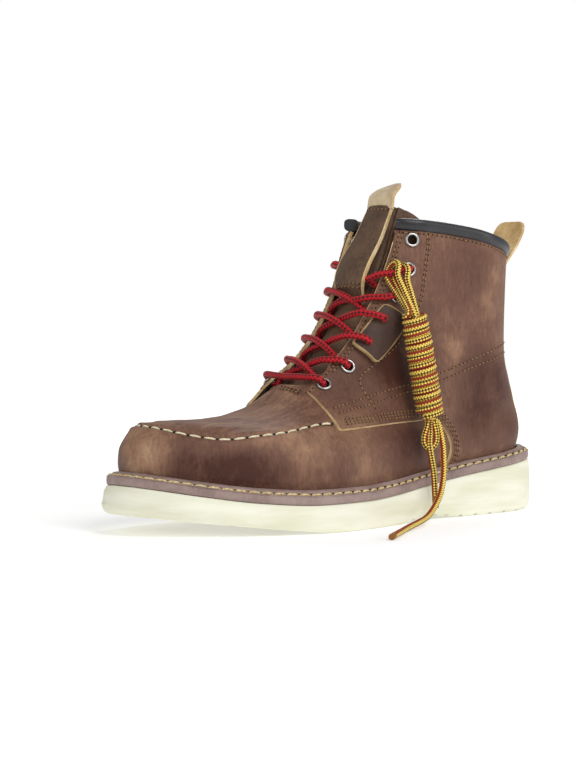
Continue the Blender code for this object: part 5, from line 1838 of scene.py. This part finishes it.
def make_roll():
    """Padded roll along the collar, flat on its outside, from one facing corner round to the other."""
    lateral, medial = collar_path(1, 90)[1:], collar_path(-1, 90)[1:-1]
    onward = medial[0] + np.outer(ROLL_STEPS, ROLL_ONWARD)
    path = np.vstack([lateral, medial[::-1], onward[::-1]])
    out = unit(normals_at(path) * (1, 1, 0))
    turn = np.linspace(0, 2 * np.pi, 28, endpoint=False)
    c, s = np.cos(turn), np.sin(turn)
    wide, high = np.sign(c) * np.abs(c) ** 0.62, np.sign(s) * np.abs(s) ** 0.7
    wide, high = wide * ROLL_HALF_WIDE, high * ROLL_HALF_HIGH
    ends = np.minimum(np.arange(len(path)), np.arange(len(path))[::-1])
    full = np.interp(ends, (0, 1), (0.9, 1.0))
    middle = path - out * ROLL_IN + (0, 0, ROLL_RISE)
    rings = [m + n * (wide * f)[:, None] + np.column_stack([0 * high, 0 * high, high * f])
             for m, n, f in zip(middle, out, full)]
    roll = ring_loft("collar_roll_pad", rings, [BLACK], sharp=0.9)
    finish_piece(roll, "black_collar", "collar_roll")


def make_eyelets():
    out = normals_at(EYELET_SPOTS)
    along = unit(np.cross(out, UPRIGHT))
    spots = EYELET_SPOTS + out * EYELET_SEAT
    piece = set_out("eyelets", EYELET_SET, [(spots, along, out)], NICKEL, rim_radius=EYELET_RIM,
                    rim_thickness=EYELET_RIM_THICK, barrel_radius=EYELET_BARREL, barrel_length=EYELET_LONG)
    nodes = [f"eyelet_{tag}_{i}" for tag in ("lat", "med") for i in range(1, 8)]
    finish_piece(piece, "nickel", *nodes)


# Sole

# Rings round the wedge from its tread up: moved in, share of the welt's trim, share of the height, lift
WEDGE_RINGS = (
    (4.0, 0.0, 0.0, 0.0),
    (2.6, 0.0, 0.0, 0.5),
    (1.6, 0.0, 0.0, 1.4),
    (0.8, 0.0, 0.0, 2.8),
    (0.25, 0.0, 0.0, 5.0),
    (0.05, 0.336, 0.42, 0.0),
    (0.0, 0.48, 0.6, 0.0),
    (0.1, 0.64, 0.8, 0.0),
    (0.3, 0.9, 1.0, -1.8),
    (0.6, 0.9, 1.0, -0.9),
    (1.0, 0.9, 1.0, -0.3),
    (1.5, 0.9, 1.0, 0.0),
)
# Rings round the midsole and, up to the foot of the upper, the welt: moved in, height over the wedge
MIDSOLE_RINGS = ((1.3, GAP), (0.8, 0.9), (0.6, 2.0), (0.6, 3.6), (0.75, MIDSOLE))
WELT_LOW, WELT_HIGH = MIDSOLE + 0.05, MIDSOLE + WELT
WELT_RINGS = (
    (0.7, WELT_LOW),
    (0.55, WELT_LOW + 0.3),
    (0.6, WELT_HIGH - 2.8),
    (1.0, WELT_HIGH - 2.5),
    (1.5, WELT_HIGH - 2.4),
    (STITCH_INSET, WELT_HIGH - 2.6),
    (STITCH_INSET + 0.9, WELT_HIGH - 2.7),
    (STITCH_INSET + 1.1, WELT_HIGH - 1.5),
    (STITCH_INSET + 1.5, WELT_HIGH - 0.7),
    (STITCH_INSET + 2.2, WELT_HIGH - 0.1),
)
# Side of the channel for the welt stitches, painted dark as its shade, by number of its strip
CHANNEL_SHADE = 6
# Grooves under heel, waist and forefoot: places, length; then width, depth and height of their cutter
GROOVES = ((np.arange(-136.0, -70.0, 13.0), 90.0), ((-58.0, -47.0, -36.0, -25.0), 100.0),
           (np.arange(2.0, 110.0, 13.0), 76.0))
GROOVE_WIDE, GROOVE_DEEP, CUTTER_HIGH = 2.6, 1.3, 6


def level_ring(curve, share, lift, half=150):
    """Ring over a plan curve, at a share of the wedge's height and a lift from there."""
    xy = plan_ring(curve, half)
    x = xy[:, 0]
    return np.column_stack([xy, underside(x) * (1 - share) + wedge_top(x) * share + lift])


def sole_line(amount, rise=1.0):
    """Edge of the sole moved in, with the toe trimmed more from the underside up to the welt."""
    x = SOLE_EDGE[:, 0]
    return inset(SOLE_EDGE, amount + column(TOE_TRIM, 1, x) * (1 - rise) + column(TOE_TRIM, 2, x) * rise)


def tread_cutter():
    """Bars that cut the grooves of the tread."""
    bars = bmesh.new()
    for places, long in GROOVES:
        for x in places:
            base = float(underside(np.array([x]))[0])
            place = Matrix.Translation((x * MM, 0, (base - CUTTER_HIGH / 2 + GROOVE_DEEP) * MM))
            size = Matrix.Diagonal((GROOVE_WIDE * MM, long * MM, CUTTER_HIGH * MM, 1))
            bmesh.ops.create_cube(bars, size=1, matrix=place @ size)
    mesh = bpy.data.meshes.new("grooves")
    bars.to_mesh(mesh)
    bars.free()
    cutter = bpy.data.objects.new("grooves", mesh)
    bpy.context.scene.collection.objects.link(cutter)
    return cutter


def make_outsole():
    """Wedge with a soft edge and a grooved tread."""
    rings = [level_ring(sole_line(amount, rise), share, lift) for amount, rise, share, lift in WEDGE_RINGS]
    sole = ring_loft("outsole_wedge", rings, [CREAM])
    cutter = tread_cutter()
    cut = sole.modifiers.new("tread", "BOOLEAN")
    cut.operation, cut.object = "DIFFERENCE", cutter
    sole = made_mesh(sole, "outsole_wedge")
    bpy.data.objects.remove(cutter)
    sole.data.shade_smooth()
    sole.data.set_sharp_from_angle(angle=0.6)
    finish_piece(sole, "cream_rubber", "outsole")


def make_plates():
    """Midsole and welt, with a channel for the welt stitches whose one side is painted dark as shade; the
    insole keeps its own solid.
    """
    rings = [level_ring(sole_line(amount), 1.0, lift) for amount, lift in MIDSOLE_RINGS]
    finish_piece(ring_loft("midsole_plate", rings, [MIDSOLE_SKIN]), "midsole_rubber", "midsole")
    rings = [level_ring(sole_line(amount), 1.0, lift) for amount, lift in WELT_RINGS]
    inner = inset(FEATHER, -3 * GAP)
    rings += [level_ring(inset(FEATHER, -1.5), 1.0, WELT_HIGH + 0.4), level_ring(inner, 1.0, WELT_HIGH + 0.1),
              level_ring(inner, 1.0, WELT_LOW)]
    # One strip of the welt's channel takes the near black skin as painted shade
    strip = ring_loft("welt_strip", rings, [WELT_SKIN, HOLE_SHADE], closed=True, dark=CHANNEL_SHADE)
    finish_piece(strip, "welt_leather", "welt")
    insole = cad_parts["insole"]
    insole.data.materials.clear()
    insole.data.materials.append(INSOLE_SKIN)


# Sewing

# Corner of a quarter's lower edge, from which rows run back: x, height that it stays below
CORNER_X, CORNER_HIGH = 31, 57.5
# Brown rows: inside the quarter's edge; beside the facing, with their first distance up; on the back strip
EDGE_ROWS = (3.0, 4.7, 6.5)
FACING_ROWS = ((22.0, 16.0), (24.0, 36.0))
FACING_ROW_TOP = 131
STRIP_ROWS, STRIP_ROW_LOW, STRIP_ROW_HIGH = (8.8, 10.6), 42, 136
# Row under the collar: below its edge, out from the form
COLLAR_ROW, COLLAR_ROW_OUT = 1.6, 0.3
# Brown rows across the end of the plug, the foot of the heel pull and both ends of the strap
PLUG_ROWS = (12.6, 14.4)
PULL_ROWS, PULL_ROW_HALF, PULL_ROW_OUT = (140.5, 142.3), 10.5, 2.6
STRAP_ROWS, STRAP_ROW_HALF, STRAP_ROW_IN = (92.2, 94.0, 144.4), 9.6, 0.2
# Depth of the painted shade in the needle holes of a brown row and of the toe seam
HOLE_DEEP, MOC_HOLE_DEEP = 0.22, 0.5
# Welt stitches below the top of the welt, and their slant
WELT_ROW_DEEP, WELT_SLANT = 1.95, 0.13


def beside(line, distance):
    """Line on the leather at a distance inside another."""
    up = normals_at(line)
    across = unit(np.cross(up, np.gradient(line, axis=0)))
    across *= np.sign(across[len(line) // 3, 2])
    moved = settle(line + across * distance, rounds=4)
    clear = line_distance(moved, line)[0] > 0.93 * distance
    return smooth_path(moved[clear], 120)


def side_rows(side, edge):
    """Rows sewn on one side: over the quarter, along its lower edge, round the eyestay, up the facing, down
    the back strip and under the collar."""
    rows = [sewn(smooth_path(np.array(row) * (1, side, 1), 90), SEAM_PITCH) for row in SIDE_ROWS]
    low = edge[np.argmin(np.abs(edge[:60, 0] - CORNER_X) + (edge[:60, 2] > CORNER_HIGH) * 9) :]
    for distance in EDGE_ROWS:
        rows.append(sewn(beside(low, distance)[4:-8], SEAM_PITCH))
    for row in STAY_ROWS:
        up, across = smooth_path(row, 60).T
        rows.append(sewn(on_throat(up, side * across), SEAM_PITCH))
    for across, start in FACING_ROWS:
        up = np.linspace(start, FACING_ROW_TOP, 60)
        rows.append(sewn(on_throat(up, np.full(60, side * across)), SEAM_PITCH))
    for y in STRIP_ROWS:
        z = np.linspace(STRIP_ROW_LOW, STRIP_ROW_HIGH, 40)
        back = np.column_stack([np.full(40, BEHIND), np.full(40, side * y), z])
        back = settle(back, over=STRIP_OUT, along=(1, 0, 0), rounds=12)
        rows.append(sewn(back, SEAM_PITCH, on_form=False))
    rows.append(sewn(collar_path(side, 90)[4:-8] - (0, 0, COLLAR_ROW), SEAM_PITCH, out=COLLAR_ROW_OUT))
    return rows


def cross_rows():
    """Rows sewn across the end of the plug, the foot of the heel pull and both ends of the strap."""
    rows = []
    for up in PLUG_ROWS:
        rows.append(sewn(on_throat(np.full(30, up), np.linspace(2, 16, 30)), SEAM_PITCH))
    for z in PULL_ROWS:
        y = np.linspace(-PULL_ROW_HALF, PULL_ROW_HALF, 20)
        line = np.column_stack([np.full(20, -140.0), y, np.full(20, z)])
        line = settle(line, over=PULL_ROW_OUT, along=(1, 0, 0), rounds=12)
        rows.append(sewn(line, SEAM_PITCH, on_form=False))
    for up in STRAP_ROWS:
        level = np.full(20, up)
        across = np.linspace(-STRAP_ROW_HALF, STRAP_ROW_HALF, 20)
        line = on_throat(level, across, column(STRAP, 1, level) - STRAP_ROW_IN)
        rows.append(sewn(line, SEAM_PITCH, on_form=False))
    return rows


def make_seam_stitches(edges):
    """Fine brown rows of the upper, with painted shade in their needle holes."""
    rows = side_rows(1, edges[1]) + side_rows(-1, edges[-1]) + cross_rows()
    threads = set_out("seam_stitches", STITCHES, rows, SEAM_THREAD, length=2.3, width=0.75, bow=0.28)
    finish_piece(threads, "oiled_leather")
    # Dark marks sunk at the ends of the stitches are the painted shade of the needle holes
    shaded_holes = [between(row, SEAM_PITCH) for row in rows]
    shaded_holes = [(p - up * HOLE_DEEP, along, up) for p, along, up in shaded_holes]
    shaded_holes = set_out("needle_holes", STITCHES, shaded_holes, HOLE_SHADE, length=1.2, width=0.85, bow=0.0)
    finish_piece(shaded_holes, "oiled_leather")


def make_toe_seam():
    """Coarse stitches round the plug, with painted shade in their needle holes."""
    middle, along, up = sewn(SEAM[3:-3], MOC_PITCH, out=0.1, on_form=False)
    seam = (middle + up * (toe_round(middle) - 0.1)[:, None], along, up)
    threads = set_out("toe_seam_stitches", STITCHES, [seam], MOC_THREAD, length=7.0, width=1.3, bow=0.8)
    finish_piece(threads, "oiled_leather")
    spots, along, up = between(seam, MOC_PITCH)
    places = [(spots - up * MOC_HOLE_DEEP, along, up)]
    shaded_holes = set_out("toe_seam_holes", STITCHES, places, HOLE_SHADE, length=1.8, width=1.5, bow=0.0)
    finish_piece(shaded_holes, "oiled_leather")


def make_welt_stitches():
    """Slanting stitches in the channel of the welt."""
    ring = level_ring(sole_line(STITCH_INSET), 1.0, MIDSOLE + WELT - WELT_ROW_DEEP, half=300)
    ring = spaced(np.vstack([ring, ring[:1]]), WELT_PITCH)
    middle, along = (ring[1:] + ring[:-1]) / 2, unit(np.diff(ring, axis=0))
    up = np.tile(UPRIGHT, (len(middle), 1))
    skew = unit(along + np.cross(up, along) * WELT_SLANT)
    places = [(middle, skew, up)]
    threads = set_out("welt_stitches", STITCHES, places, WELT_THREAD, length=7.3, width=1.65, bow=0.5)
    finish_piece(threads, "welt_leather")


# Floor and light

FLOOR_GREY = (0.92, 0.92, 0.92, 1)
# Glow of the floor round the boot and further out: distances, strengths
GLOW_NEAR, GLOW_FAR, GLOW_LOW, GLOW_HIGH = 0.3, 1.6, 0.28, 0.64
# Strength of the backdrop as light and as seen
BACKDROP_LIGHT, BACKDROP_SEEN = 0.4, 1.0
# Soft lights: name, place, target, size, power
LIGHTS = (
    ("key", (0.2, 1.4, 1.3), (0, 0, 0.08), 0.9, 14),
    ("fill", (1.5, 0.3, 0.9), (0, 0, 0.08), 0.9, 4),
    ("side", (-1.0, 1.3, 0.6), (-0.05, 0, 0.08), 0.8, 4),
    ("back", (-1.2, -0.9, 1.4), (0, 0, 0.1), 0.8, 8),
)


def soft_light(name, place, target, size, power):
    data = bpy.data.lights.new(name, "AREA")
    data.shape, data.size, data.energy = "DISK", size, power
    light = bpy.data.objects.new(name, data)
    light.location = place
    light.rotation_euler = (Vector(target) - Vector(place)).to_track_quat("-Z", "Y").to_euler()
    bpy.context.scene.collection.objects.link(light)


def make_stage():
    mesh = bpy.data.meshes.new("floor")
    mesh.from_pydata([(-6, -6, 0), (6, -6, 0), (6, 6, 0), (-6, 6, 0)], [], [(0, 1, 2, 3)])
    floor = bpy.data.objects.new("floor", mesh)
    bpy.context.scene.collection.objects.link(floor)
    # Matt floor with a glow that grows outwards, so that it fades into the backdrop
    material, tree, shader, at = start_material("pale_studio_floor", Roughness=0.9, Specular_IOR_Level=0.1,
                                                Base_Color=FLOOR_GREY, Emission_Color=linear("FFFFFF"))
    far = add(tree, "ShaderNodeVectorMath", {0: at}, operation="LENGTH")
    glow = add(tree, "ShaderNodeMapRange", {0: far.outputs["Value"], 1: GLOW_NEAR, 2: GLOW_FAR, 3: GLOW_LOW,
                                            4: GLOW_HIGH})
    wire(tree, shader, {"Emission Strength": glow})
    mesh.materials.append(material)
    world = bpy.data.worlds.new("studio")
    world.use_nodes = True
    tree = world.node_tree
    backdrop = tree.nodes["Background"]
    backdrop.inputs["Color"].default_value = linear("FFFFFF")
    path = add(tree, "ShaderNodeLightPath")
    seen = add(tree, "ShaderNodeMapRange", {0: path.outputs["Is Camera Ray"], 3: BACKDROP_LIGHT,
                                            4: BACKDROP_SEEN})
    wire(tree, backdrop, {"Strength": seen})
    bpy.context.scene.world = world
    for light in LIGHTS:
        soft_light(*light)
    bpy.context.scene.view_settings.view_transform = "Standard"


make_camera()
make_spare_lace()
make_red_lace()
QUARTER_EDGES = make_upper()
make_back_strip()
make_heel_pull()
make_tongue()
make_strap()
make_patch()
make_roll()
make_eyelets()
make_outsole()
make_plates()
make_seam_stitches(QUARTER_EDGES)
make_toe_seam()
make_welt_stitches()
make_stage()
